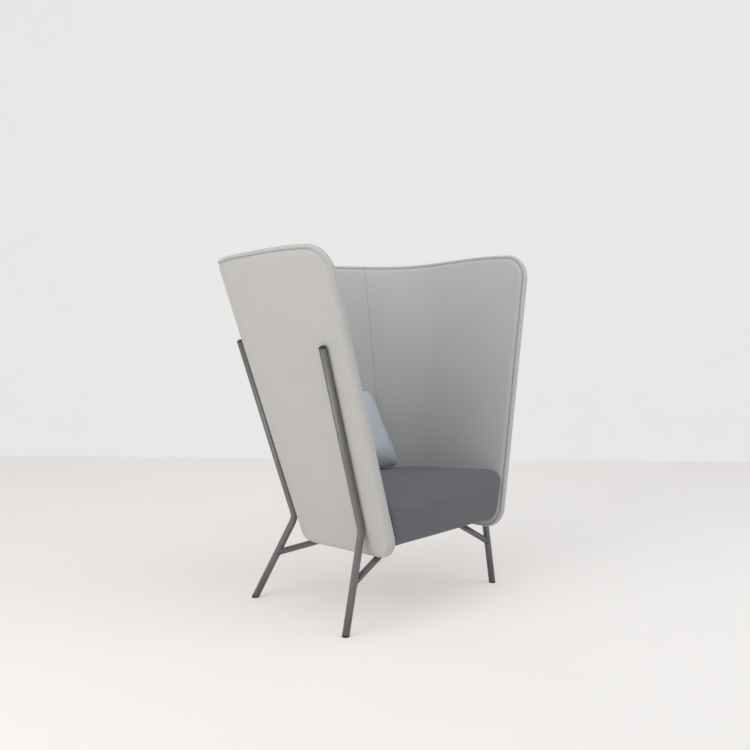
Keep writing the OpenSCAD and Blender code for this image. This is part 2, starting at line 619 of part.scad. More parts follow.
// Screws that hold the bracket's upright leg to the shell's core, through the lining
wall_fix_shares = [0.1, 0.5, 0.9];
wall_normal = surface_normal([0, 0]);
wall_fix_z = board_z - bracket_t - head_r - fit_gap + (rest_gap + bracket_t + head_h) * wall_normal[2];
wall_fix_p = shell_point([0, 0], wall_fix_z + wall_t * wall_normal[2], 0);
wall_fix_len = bracket_t + rest_gap + lay_gap + inner_t + core_t * grip_share - fit_gap;
module at_wall_fixes(from, to, r) {
    for (s = wall_fix_shares)
        aim([wall_fix_p[0], bracket_y0 + s * bracket_len, wall_fix_p[2]] - wall_normal * to, wall_normal)
            cylinder(r = r, h = to - from);
}
module wall_screws() {
    color(zinc_rgb) both() for (s = wall_fix_shares)
        aim([wall_fix_p[0], bracket_y0 + s * bracket_len, wall_fix_p[2]]
            - wall_normal * (wall_t + rest_gap + bracket_t + head_h), wall_normal) pan_screw(wall_fix_len);
}

// Caps of black plastic: a domed one on top of each tube and a flat one below it
plug_r = bore_r - fit_gap;
dome_h = cap_h - cap_collar;
dome_r = (tube_r * tube_r + dome_h * dome_h) / 2 / dome_h;
module tube_cap(path) {
    d = path[2] - path[1];
    color(cap_rgb) aim(path[2] - unit(d) * plug_len, d) rotate_extrude() {
        square([plug_r, plug_len + cap_collar]);
        translate([0, plug_len]) square([tube_r, cap_collar]);
        intersection() {
            translate([0, plug_len + cap_h - dome_r]) circle(dome_r);
            translate([0, plug_len + cap_collar / 2]) square([tube_r, cap_h]);
        }
    }
}
module foot(path) {
    u = unit(path[1] - path[0]);
    a = path[0] + u * foot_h / u[2];
    color(cap_rgb) intersection() {
        union() {
            tube(a - u * tube_d, a, tube_r, 0);
            tube(a - u * foot_h / 2, a + u * plug_len, plug_r, 0);
        }
        translate([path[0][0] - tube_d * 2, path[0][1] - tube_d * 2, 0]) cube(tube_d * 4);
    }
}

// Fixings of the legs: a spacer through the cover, a bush in the tube and a screw sunk in the core
module leg_spacers() {
    color(zinc_rgb) both() difference() {
        for (f = fixes) aim(f[0] - f[1] * (stand_off + core_deep - lay_gap / 2), f[1]) difference() {
            cylinder(r = spacer_r, h = core_deep + stand_off);
            translate([0, 0, -overrun])
                cylinder(r = screw_r + fit_gap, h = core_deep + stand_off + 2 * overrun);
        }
        tube(front_path[1], front_path[2], tube_r + fit_gap, 0);
        tube(rear_path[1], rear_path[2], tube_r + fit_gap, 0);
        for (f = fixes) aim(f[0], f[1]) cylinder(r = 2 * tube_r, h = 2 * tube_r);
    }
}
bush_seat = sqrt(tube_r * tube_r - bush_r * bush_r) - fit_gap;
module leg_bushes() {
    color(zinc_rgb) both() for (f = fixes) aim(f[0] - f[1] * bush_seat, f[1]) difference() {
        cylinder(r = bush_r, h = bush_len);
        translate([0, 0, -overrun]) cylinder(r = screw_r, h = bush_len + 2 * overrun);
    }
}
module flat_screw(len) {
    rotate_extrude() polygon([[0, 0], [head_r, 0], [head_r, head_h], [screw_r - fit_gap / 2, head_h],
        [screw_r - fit_gap / 2, len], [0, len]]);
}
module leg_screws() {
    color(zinc_rgb) both() for (f = fixes)
        aim(f[0] - f[1] * (stand_off + core_end), f[1]) flat_screw(leg_screw_len);
}
module pan_screw(len) {
    rotate_extrude() polygon([[0, 0], [head_r * grip_share, 0], [head_r, head_h / 3], [head_r, head_h],
        [screw_r - fit_gap / 2, head_h], [screw_r - fit_gap / 2, head_h + len], [0, head_h + len]]);
}
module rail_screws() {
    color(zinc_rgb) both() for (y = rail_hole_ys)
        translate([rail_pitch / 2, y, rail_z - head_h]) pan_screw(rail_t + insert_len * grip_share);
}
module board_inserts() {
    color(zinc_rgb) both() for (y = rail_hole_ys) translate([rail_pitch / 2, y, board_z]) difference() {
        cylinder(r = insert_r, h = insert_len);
        translate([0, 0, -overrun]) cylinder(r = screw_r, h = insert_len + 2 * overrun);
    }
}
module bracket_screws() {
    color(zinc_rgb) both() for (y = bracket_hole_ys)
        translate([bracket_hole_x, y, board_z - bracket_t - head_h])
            pan_screw(bracket_t + insert_len * grip_share);
}

shell_core();
outer_cover();
side_pad(-1);  // inner_left_pad
side_pad(1);  // inner_right_pad
inner_back_pad();
edge_welt();
seat_board();
seat_cushion();
back_pillow();
side(-1) front_leg();  // front_left_leg
side(1) front_leg();  // front_right_leg
side(-1) rear_leg();  // rear_left_leg
side(1) rear_leg();  // rear_right_leg
side(-1) strut(front_path, front_strut_end);  // front_left_strut
side(1) strut(front_path, front_strut_end);  // front_right_strut
side(-1) strut(rear_path, rear_strut_end);  // rear_left_strut
side(1) strut(rear_path, rear_strut_end);  // rear_right_strut
side(-1) rail();  // left_rail
side(1) rail();  // right_rail
side(-1) bracket();  // left_bracket
side(1) bracket();  // right_bracket
side(-1) tube_cap(front_path);  // front_left_tube_cap
side(1) tube_cap(front_path);  // front_right_tube_cap
side(-1) tube_cap(rear_path);  // rear_left_tube_cap
side(1) tube_cap(rear_path);  // rear_right_tube_cap
side(-1) foot(front_path);  // front_left_foot
side(1) foot(front_path);  // front_right_foot
side(-1) foot(rear_path);  // rear_left_foot
side(1) foot(rear_path);  // rear_right_foot
leg_spacers();
leg_bushes();
leg_screws();
rail_screws();
board_inserts();
bracket_screws();
wall_screws();
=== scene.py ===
"""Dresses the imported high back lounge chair: felt covers, stuffed cushions, painted tubes and the studio.

Every length is in metres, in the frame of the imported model: +Z up, the front towards -Y, the origin on the
floor in the middle of the plan.
"""

from __future__ import annotations

import logging
import math
from collections.abc import Callable, Sequence
from dataclasses import dataclass, field, replace
from enum import Enum

import bpy
from mathutils import Matrix, Quaternion, Vector, noise


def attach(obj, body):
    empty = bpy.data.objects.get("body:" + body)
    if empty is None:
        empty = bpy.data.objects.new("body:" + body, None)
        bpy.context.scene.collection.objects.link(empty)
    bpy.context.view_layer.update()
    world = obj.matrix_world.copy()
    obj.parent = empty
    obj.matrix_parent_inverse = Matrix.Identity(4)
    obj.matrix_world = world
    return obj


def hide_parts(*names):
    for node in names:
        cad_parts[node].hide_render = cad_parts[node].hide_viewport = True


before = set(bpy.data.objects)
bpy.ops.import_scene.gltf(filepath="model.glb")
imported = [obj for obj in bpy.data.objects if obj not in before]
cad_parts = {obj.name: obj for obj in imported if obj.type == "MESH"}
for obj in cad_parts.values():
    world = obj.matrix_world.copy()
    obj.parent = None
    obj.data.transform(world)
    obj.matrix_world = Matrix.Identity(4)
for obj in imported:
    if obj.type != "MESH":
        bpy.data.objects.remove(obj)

LOG = logging.getLogger("lounge_chair")
CHAIR = "chair"
PILLOW = "pillow"
Triple = tuple[float, float, float]
UP = Vector((0, 0, 1))


class Run(Enum):
    """The stretches of the shell's plan, from the front edge to the middle of the back."""

    EDGE = "edge"
    WING = "wing"
    CORNER = "corner"
    BACK = "back"


class Side(Enum):
    """The chair's two sides, by the sign of X."""

    LEFT = -1
    RIGHT = 1


@dataclass(frozen=True)
class Station:
    """One place along the shell's plan: a run and how far along it, in metres, shares or degrees.

    A station on the back drifts with the height, by a number of degrees from the bottom to the top.
    """

    run: Run
    value: float
    side: Side = Side.RIGHT
    drift: float = 0.0


def smooth(x: float) -> float:
    """Eases x from 0 to 1."""
    t = max(0.0, min(1.0, x))
    return t * t * (3 - 2 * t)


def bunched(share: float, amount: float = 0.8) -> float:
    """Moves a share of a length towards the ends, so that steps are finer there."""
    return share + (0.5 - 0.5 * math.cos(math.pi * share) - share) * amount


def round_off(distance: float, width: float, depth: float) -> float:
    """How far a pad's face falls away at a distance from a seam, over a width and to a depth at the seam."""
    t = max(0.0, min(1.0, (width - distance) / width))
    return depth * (1 - math.sqrt(1 - t * t))


def uneven(point: Vector, waves: Triple) -> float:
    """A slow unevenness of upholstery, the same at each run, from its frequency, height and seed."""
    scale, height, seed = waves
    return height * noise.noise(point * scale + Vector((seed, seed * 1.7, -seed)))


def circle(middle: Vector, a: Vector, b: Vector, radius: float, count: int) -> list[Vector]:
    """Points round a middle, from the direction a to the direction b."""
    turns = [2 * math.pi * k / count for k in range(count)]
    return [middle + (a * math.cos(t) + b * math.sin(t)) * radius for t in turns]


@dataclass(frozen=True)
class ShellForm:
    """Sizes of the U-shaped shell, and the ruled surface that they give."""

    overall_h: float = 1.256
    shell_z: float = 0.246
    low_w: float = 0.610
    top_w: float = 1.116
    low_depth: float = 0.584
    top_depth: float = 0.807
    front_lean: float = 0.071
    low_corner_r: float = 0.207
    top_corner_r: float = 0.310
    back_turn: float = 34.4
    rim_drop: float = 0.041
    low_rim_drop: float = 0.011
    top_edge_r: float = 0.096
    low_edge_r: float = 0.076
    core_t: float = 0.009
    outer_t: float = 0.006
    inner_t: float = 0.014
    lay_gap: float = 0.0003
    fall_start: float = 0.14
    fall_end: float = 0.85
    seam_shift: float = 2.3
    seam_drift: float = 4.6

    @property
    def wall_t(self) -> float:
        """Thickness of the whole wall."""
        return self.outer_t + self.core_t + self.inner_t + 2 * self.lay_gap

    @property
    def turn_end(self) -> float:
        """Angle at which a rear corner passes into the shallow back."""
        return 90 - self.back_turn

    @property
    def shell_rise(self) -> float:
        """Height of the shell at its front."""
        return self.overall_h - self.shell_z

    @property
    def rear_grow(self) -> float:
        """How much further back the shell reaches at the top than at the bottom."""
        return self.front_lean + self.top_depth - self.low_depth

    @property
    def front_y(self) -> float:
        """Place of the front edge at the bottom."""
        return -(self.low_depth + self.rear_grow * (1 - self.rim_drop / self.shell_rise)) / 2

    @property
    def edge_run(self) -> float:
        """Length of the stretch beside the front edge that holds the round corners."""
        return max(self.top_edge_r, self.low_edge_r)

    def rise(self, z: float) -> float:
        """Share of the shell's height at z."""
        return (z - self.shell_z) / self.shell_rise

    def half_w(self, z: float) -> float:
        """Half the width across the wings at z."""
        return (self.low_w + (self.top_w - self.low_w) * self.rise(z)) / 2

    def corner_r(self, z: float) -> float:
        """Radius of the rear corners at z."""
        return self.low_corner_r + (self.top_corner_r - self.low_corner_r) * self.rise(z)

    def edge_y(self, z: float) -> float:
        """Place of the front edge at z."""
        return self.front_y + self.front_lean * self.rise(z)

    def back_y(self, z: float) -> float:
        """Place of the back's middle at z."""
        return self.front_y + self.low_depth + self.rear_grow * self.rise(z)

    def back_r(self, z: float) -> float:
        """Radius of the shallow back at z."""
        end = math.radians(self.turn_end)
        return (self.half_w(z) - self.corner_r(z) * (1 - math.cos(end))) / math.cos(end)

    def corner_y(self, z: float) -> float:
        """Place where the flat wing meets the corner at z."""
        end = math.sin(math.radians(self.turn_end))
        return self.back_y(z) - self.corner_r(z) * end - self.back_r(z) * (1 - end)

    def rate(self, of: Callable[[float], float]) -> float:
        """How much one of the sizes above grows for each metre up."""
        return (of(self.overall_h) - of(self.shell_z)) / self.shell_rise

    def turn(self, at: Station, z: float | None = None) -> float:
        """Direction of the surface's outward normal in plan.

        Args:
            at: Station along the plan.
            z: Height, or None for half way up.

        Returns:
            The angle from the side, in radians.
        """
        if at.run in (Run.EDGE, Run.WING):
            return 0.0
        rise = 0.5 if z is None else self.rise(z)
        return math.radians(at.value + at.drift * (rise - 0.5))

    def slope(self, at: Station, z: float | None = None) -> float:
        """Outward lean of the surface.

        Args:
            at: Station along the plan.
            z: Height, or None for half way up.

        Returns:
            Metres out for each metre up.
        """
        if at.run in (Run.EDGE, Run.WING):
            return self.rate(self.half_w)
        turn = self.turn(at, z)
        if at.run is Run.CORNER:
            side = (self.rate(self.half_w) - self.rate(self.corner_r)) * math.cos(turn)
            return side + self.rate(self.corner_y) * math.sin(turn) + self.rate(self.corner_r)
        return (self.rate(self.back_y) - self.rate(self.back_r)) * math.sin(turn) + self.rate(self.back_r)

    def normal(self, at: Station, z: float | None = None) -> Vector:
        """The surface's outward normal.

        Args:
            at: Station along the plan.
            z: Height, or None for half way up.

        Returns:
            The normal, one metre long.
        """
        turn = self.turn(at, z)
        out = Vector((math.cos(turn), math.sin(turn), -self.slope(at, z))).normalized()
        return Vector((at.side.value * out.x, out.y, out.z))

    def plan(self, at: Station, z: float) -> Vector:
        """The surface's place in plan on the right side.

        Args:
            at: Station along the plan.
            z: Height.

        Returns:
            The place, in two dimensions.
        """
        if at.run is Run.EDGE:
            return Vector((self.half_w(z), self.edge_y(z) + at.value))
        if at.run is Run.WING:
            start = self.edge_y(z) + self.edge_run
            return Vector((self.half_w(z), start + at.value * (self.corner_y(z) - start)))
        turn = self.turn(at, z)
        if at.run is Run.CORNER:
            r = self.corner_r(z)
            return Vector((self.half_w(z) - r + r * math.cos(turn), self.corner_y(z) + r * math.sin(turn)))
        r = self.back_r(z)
        return Vector((r * math.cos(turn), self.back_y(z) - r * (1 - math.sin(turn))))

    def point(self, at: Station, z: float, deep: float = 0.0) -> Vector:
        """A point of the wall, at a depth square to the outer surface."""
        flat = self.plan(at, z)
        return Vector((at.side.value * flat.x, flat.y, z)) - deep * self.normal(at, z)

    def level_point(self, at: Station, z: float, deep: float) -> Vector:
        """A point at a depth inside the outer surface and at the same height.

        Args:
            at: Station along the plan.
            z: Height.
            deep: Depth, square to the surface.

        Returns:
            The point in the model's frame.
        """
        flat = self.plan(at, z)
        shift = deep * math.sqrt(1 + self.slope(at, z) ** 2)
        turn = self.turn(at, z)
        x = flat.x - shift * math.cos(turn)
        return Vector((at.side.value * x, flat.y - shift * math.sin(turn), z))

    def depth_share(self, at: Station) -> float:
        """How far back a station lies, as a share of the shell's depth."""
        z = self.overall_h - self.rim_drop
        return (self.plan(at, z).y - self.edge_y(z)) / self.top_depth

    def rim_top(self, at: Station) -> float:
        """Height of the top edge at a station, but for the round corner."""
        share = (self.depth_share(at) - self.fall_start) / (self.fall_end - self.fall_start)
        return self.overall_h - self.rim_drop * smooth(share)

    def rim_low(self, at: Station) -> float:
        """Height of the bottom edge at a station, but for the round corner."""
        return self.shell_z - self.low_rim_drop * min(1.0, self.depth_share(at))

    def corner_loss(self, at: Station, radius: float, inset: float) -> float:
        """How far a line beside the rim leaves the rim's level in a round front corner.

        Args:
            at: Station along the plan.
            radius: Radius of the corner at the rim.
            inset: Distance of the line from the rim.

        Returns:
            The distance, 0 away from the corner.
        """
        r, u = radius - inset, at.value - inset
        if at.run is not Run.EDGE or u >= r:
            return 0.0
        return r - math.sqrt(max(0.0, r * r - (r - u) ** 2))

    def top_z(self, at: Station, inset: float) -> float:
        """Height of a line that runs below the top edge at an inset."""
        return self.rim_top(at) - inset - self.corner_loss(at, self.top_edge_r, inset)

    def low_z(self, at: Station, inset: float) -> float:
        """Height of a line that runs above the bottom edge at an inset."""
        return self.rim_low(at) + inset + self.corner_loss(at, self.low_edge_r, inset)

    def rim_distance(self, at: Station, z: float, inset: float, low_inset: float) -> float:
        """Distance from a point of the surface to the nearest end of a cover.

        Args:
            at: Station along the plan.
            z: Height on the outer surface.
            inset: Distance of the cover's end from the top and front edges.
            low_inset: Distance of the cover's end from the bottom edge.

        Returns:
            The distance, round corners included.
        """
        above, below = self.rim_top(at) - z, z - self.rim_low(at)
        found = min(above - inset, below - low_inset)
        if at.run is not Run.EDGE:
            return found
        found = min(found, at.value - inset)
        for gap, r, end in ((above, self.top_edge_r, inset), (below, self.low_edge_r, low_inset)):
            if gap < r and at.value < r:
                found = min(found, r - math.hypot(r - gap, r - at.value) - end)
        return found


def deselect_all() -> None:
    """Leaves no object selected, so that an operator acts on the new piece alone."""
    if bpy.context.object and bpy.context.object.mode != "OBJECT":
        bpy.ops.object.mode_set(mode="OBJECT")
    bpy.ops.object.select_all(action="DESELECT")


def activate(piece: bpy.types.Object, other: bpy.types.Object | None = None) -> None:
    """Makes one piece active and the only selected one.

    Args:
        piece: The piece.
        other: A second piece that is selected with it, or None.
    """
    deselect_all()
    piece.select_set(True)
    bpy.context.view_layer.objects.active = piece
    if other is not None:
        other.select_set(True)


def loft(name: str, sections: Sequence[Sequence[Vector]], closed: bool = False) -> bpy.types.Object:
    """Skins closed sections, one after another, from a grid that is rolled up and merged.

    Args:
        name: Name of the new piece.
        sections: Rings of equal length. A ring with all its points in pairs or in one place closes an end.
        closed: True where the last section joins the first.

    Returns:
        The piece, smooth, with faces outwards and a metric UV map.
    """
    rings = [list(s) + [s[0]] for s in sections]
    if closed:
        rings.append(rings[0])
    across, along = len(rings[0]), len(rings)
    deselect_all()
    bpy.ops.mesh.primitive_grid_add(x_subdivisions=across - 1, y_subdivisions=along - 1, size=1)
    piece = bpy.context.object
    piece.name = piece.data.name = name
    mesh = piece.data
    order = [
        (round((v.co.y + 0.5) * (along - 1)), round((v.co.x + 0.5) * (across - 1))) for v in mesh.vertices
    ]
    run = [0.0]
    for a, b in zip(rings, rings[1:]):
        run.append(run[-1] + max((p - q).length for p, q in zip(a, b)))
    middle = rings[along // 2]
    girth = [0.0]
    for p, q in zip(middle, middle[1:]):
        girth.append(girth[-1] + (p - q).length)
    uv = mesh.uv_layers.active.data
    for loop in mesh.loops:
        i, j = order[loop.vertex_index]
        uv[loop.index].uv = (run[i], girth[j])
    for v, (i, j) in zip(mesh.vertices, order):
        v.co = rings[i][j]
    bpy.ops.object.mode_set(mode="EDIT")
    bpy.ops.mesh.select_all(action="SELECT")
    bpy.ops.mesh.remove_doubles(threshold=1e-6)
    bpy.ops.mesh.normals_make_consistent(inside=False)
    bpy.ops.object.mode_set(mode="OBJECT")
    bpy.ops.object.shade_smooth()
    return piece


def apply_modifier(piece: bpy.types.Object, kind: str, **settings: object) -> None:
    """Adds a modifier and applies it.

    Args:
        piece: The piece.
        kind: Blender's name of the modifier's type.
        **settings: The modifier's properties.
    """
    activate(piece)
    modifier = piece.modifiers.new(kind.title(), kind)
    for key, value in settings.items():
        setattr(modifier, key, value)
    bpy.ops.object.modifier_apply(modifier=modifier.name)


class Look:
    """The nodes of a new material: its shader, the object's coordinates and short ways to add more."""

    ramp_ends = (0.3, 0.7)
    ramp_roughness = 0.6

    def __init__(self, name: str) -> None:
        """Makes the material.

        Args:
            name: Its name.
        """
        self.material = bpy.data.materials.new(name)
        self.material.use_nodes = True
        self.nodes = self.material.node_tree.nodes
        self.shader = self.nodes["Principled BSDF"]
        self.place = self.add("ShaderNodeTexCoord").outputs["Object"]

    def add(self, kind: str, **settings: object) -> bpy.types.Node:
        """Adds a node and sets its properties and the defaults of its inputs.

        Args:
            kind: Blender's name of the node.
            **settings: Properties, or inputs whose names are written with underscores.

        Returns:
            The new node.
        """
        node = self.nodes.new(kind)
        for key, value in settings.items():
            if hasattr(node, key):
                setattr(node, key, value)
            else:
                node.inputs[key.replace("_", " ")].default_value = value
        return node

    def link(self, source: bpy.types.NodeSocket, node: bpy.types.Node, socket: str | int) -> None:
        """Joins an output to one of a node's inputs."""
        self.material.node_tree.links.new(source, node.inputs[socket])

    def set(self, **values: float) -> None:
        """Sets the shader's own inputs, whose names are written with underscores."""
        for key, value in values.items():
            self.shader.inputs[key.replace("_", " ")].default_value = value

    def grain(
        self,
        scale: float,
        detail: float,
        roughness: float = 0.5,
        place: bpy.types.NodeSocket | None = None,
    ) -> bpy.types.NodeSocket:
        """A noise texture.

        Args:
            scale: Scale of the pattern, in 1/m.
            detail: Octaves of the noise.
            roughness: Strength of the finer octaves.
            place: Socket with the coordinates, or None for the object's own.

        Returns:
            The socket of its value.
        """
        node = self.add("ShaderNodeTexNoise", Scale=scale, Detail=detail, Roughness=roughness)
        self.link(self.place if place is None else place, node, "Vector")
        return node.outputs["Fac"]

    def mottled(
        self,
        tones: tuple[Triple, Triple],
        scale: float,
        detail: float = 3.0,
        place: bpy.types.NodeSocket | None = None,
    ) -> bpy.types.NodeSocket:
        """A colour that wanders between two tones.

        Args:
            tones: Darker and lighter tone, linear.
            scale: Scale of the pattern, in 1/m.
            detail: Octaves of the noise.
            place: Socket with the coordinates, or None for the object's own.

        Returns:
            The colour's socket.
        """
        value = self.grain(scale, detail, self.ramp_roughness, place)
        ramp = self.add("ShaderNodeValToRGB")
        for element, position, tone in zip(ramp.color_ramp.elements, self.ramp_ends, tones):
            element.position = position
            element.color = (*tone, 1)
        self.link(value, ramp, "Fac")
        return ramp.outputs["Color"]

    def colour(self, source: bpy.types.NodeSocket) -> None:
        """Gives the shader its colour."""
        self.link(source, self.shader, "Base Color")

    def bump(self, height: bpy.types.NodeSocket, strength: float, distance: float) -> None:
        """Gives the shader a relief.

        Args:
            height: Socket with the height.
            strength: Share of the relief that shows.
            distance: Height of the relief.
        """
        node = self.add("ShaderNodeBump", Strength=strength, Distance=distance)
        self.link(height, node, "Height")
        self.link(node.outputs["Normal"], self.shader, "Normal")


def around(tone: Triple, low: float, high: float) -> tuple[Triple, Triple]:
    """A darker and a lighter version of a tone, by two shares of it."""
    return tuple(c * low for c in tone), tuple(min(1.0, c * high) for c in tone)


@dataclass(frozen=True)
class Finish:
    """What every finish has: a name and a procedural material made once."""

    name: str

    def dress(self, look: Look) -> None:
        """Adds the finish's own nodes."""
        raise NotImplementedError

    def material(self) -> bpy.types.Material:
        """Makes the finish's material at its first use.

        Returns:
            The material.
        """
        if self.name not in bpy.data.materials:
            self.dress(Look(self.name))
        return bpy.data.materials[self.name]

    def cover(self, piece: bpy.types.Object) -> None:
        """Puts the material on all of a piece."""
        piece.data.materials.clear()
        piece.data.materials.append(self.material())


@dataclass(frozen=True)
class Felt(Finish):
    """Milled wool felt: matt, hairy at the edges, with a close short nap and a slight melange."""

    tone: Triple = (0.5, 0.5, 0.5)
    melange: float = 0.05
    nap: float = 0.25
    nap_depth: float = 0.0006
    fibre_scale: float = 1500.0
    pill_scale: float = 1500.0 / 7
    cloud_scale: float = 5.0
    cloud_tone: float = 0.972

    def dress(self, look: Look) -> None:
        """Adds the melange colour, the nap and the sheen.

        Args:
            look: The material's nodes.
        """
        fine = look.mottled(around(self.tone, 1 - self.melange, 1 + self.melange), self.fibre_scale * 0.5, 4)
        slow = look.mottled(((self.cloud_tone,) * 3, (1.0,) * 3), self.cloud_scale, 2)
        blend = look.add("ShaderNodeMix", data_type="RGBA", blend_type="MULTIPLY")
        blend.inputs["Factor"].default_value = 1
        look.link(fine, blend, "A")
        look.link(slow, blend, "B")
        look.colour(blend.outputs["Result"])
        look.set(Roughness=0.95, Specular_IOR_Level=0.25, Sheen_Weight=0.12, Sheen_Roughness=0.5)
        total = look.add("ShaderNodeMath", operation="ADD")
        look.link(look.grain(self.fibre_scale, 5.0, 0.7), total, 0)
        look.link(look.grain(self.pill_scale, 3.0), total, 1)
        look.bump(total.outputs["Value"], self.nap, self.nap_depth)


@dataclass(frozen=True)
class PowderCoat(Finish):
    """Satin powder coating on steel, with a fine orange peel."""

    tone: Triple = (0.176, 0.166, 0.170)
    spread: float = 0.05
    metallic: float = 0.25
    roughness: float = 0.42
    peel_scale: float = 900.0
    peel: float = 0.12
    peel_depth: float = 0.0002

    def dress(self, look: Look) -> None:
        """Adds the colour, the gloss and the orange peel.

        Args:
            look: The material's nodes.
        """
        look.colour(look.mottled(around(self.tone, 1 - self.spread, 1 + self.spread), 60))
        look.set(Metallic=self.metallic, Roughness=self.roughness)
        look.bump(look.grain(self.peel_scale, 2.0), self.peel, self.peel_depth)


@dataclass(frozen=True)
class Plastic(Finish):
    """Moulded plastic with a fine eroded texture."""

    tone: Triple = (0.02, 0.02, 0.02)
    spread: float = 0.3
    roughness: float = 0.4
    grain_scale: float = 2500.0
    relief: float = 0.15
    relief_depth: float = 0.0002

    def dress(self, look: Look) -> None:
        """Adds the colour and the texture.

        Args:
            look: The material's nodes.
        """
        look.colour(look.mottled(around(self.tone, 1, 1 + self.spread), 300))
        look.set(Roughness=self.roughness)
        look.bump(look.grain(self.grain_scale, 1.0), self.relief, self.relief_depth)


@dataclass(frozen=True)
class Plywood(Finish):
    """Birch plywood: long pale grain."""

    tones: tuple[Triple, Triple] = ((0.42, 0.27, 0.14), (0.60, 0.43, 0.25))
    stretch: Triple = (14.0, 1.2, 14.0)
    roughness: float = 0.6
    relief: float = 0.2
    relief_depth: float = 0.0004

    def dress(self, look: Look) -> None:
        """Adds stretched grain and a satin surface.

        Args:
            look: The material's nodes.
        """
        stretch = look.add("ShaderNodeMapping", Scale=self.stretch)
        look.link(look.place, stretch, "Vector")
        place = stretch.outputs["Vector"]
        look.colour(look.mottled(self.tones, 9, 6, place))
        look.set(Roughness=self.roughness)
        look.bump(look.grain(60.0, 6.0, place=place), self.relief, self.relief_depth)


@dataclass(frozen=True)
class Zinc(Finish):
    """Zinc-plated steel of brackets and screws."""

    tones: tuple[Triple, Triple] = ((0.46, 0.47, 0.48), (0.62, 0.63, 0.65))
    smoothest: float = 0.28
    roughest: float = 0.45

    def dress(self, look: Look) -> None:
        """Adds the spangled grey and a brushed gloss.

        Args:
            look: The material's nodes.
        """
        look.colour(look.mottled(self.tones, 220, 4))
        look.set(Metallic=1.0)
        spread = look.add("ShaderNodeMapRange", To_Min=self.smoothest, To_Max=self.roughest)
        look.link(look.grain(400.0, 3.0), spread, "Value")
        look.link(spread.outputs["Result"], look.shader, "Roughness")


OUTER_FELT = Felt("outer_felt", tone=(0.52, 0.507, 0.478))
# Painted shade: the rolled edge is the outer cover's own felt, toned darker than the cover to stand for the
# shade on the far roll.
EDGE_FELT_WITH_PAINTED_SHADE = Felt("edge_felt_painted_shade", tone=(0.485, 0.478, 0.472))
LINING_FELT = Felt("lining_felt", tone=(0.460, 0.470, 0.459))
SEAT_FELT = Felt("seat_felt", tone=(0.130, 0.129, 0.144), melange=0.10)
PILLOW_FELT = Felt("pillow_felt", tone=(0.50, 0.528, 0.572))
TUBE_PAINT = PowderCoat("satin_powder_coat")
BLACK_PLASTIC = Plastic("moulded_plastic")
BARE_PLY = Plywood("bare_plywood")
ZINC_STEEL = Zinc("zinc_plating")


def commit(
    piece: bpy.types.Object,
    finish: Finish,
    nodes: Sequence[str],
    body: str = CHAIR,
) -> None:
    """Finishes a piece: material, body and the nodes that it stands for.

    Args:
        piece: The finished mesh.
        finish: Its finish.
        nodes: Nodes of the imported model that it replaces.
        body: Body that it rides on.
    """
    finish.cover(piece)
    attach(piece, body)
    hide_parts(*nodes)
    LOG.info("%s: %d faces", piece.name, len(piece.data.polygons))


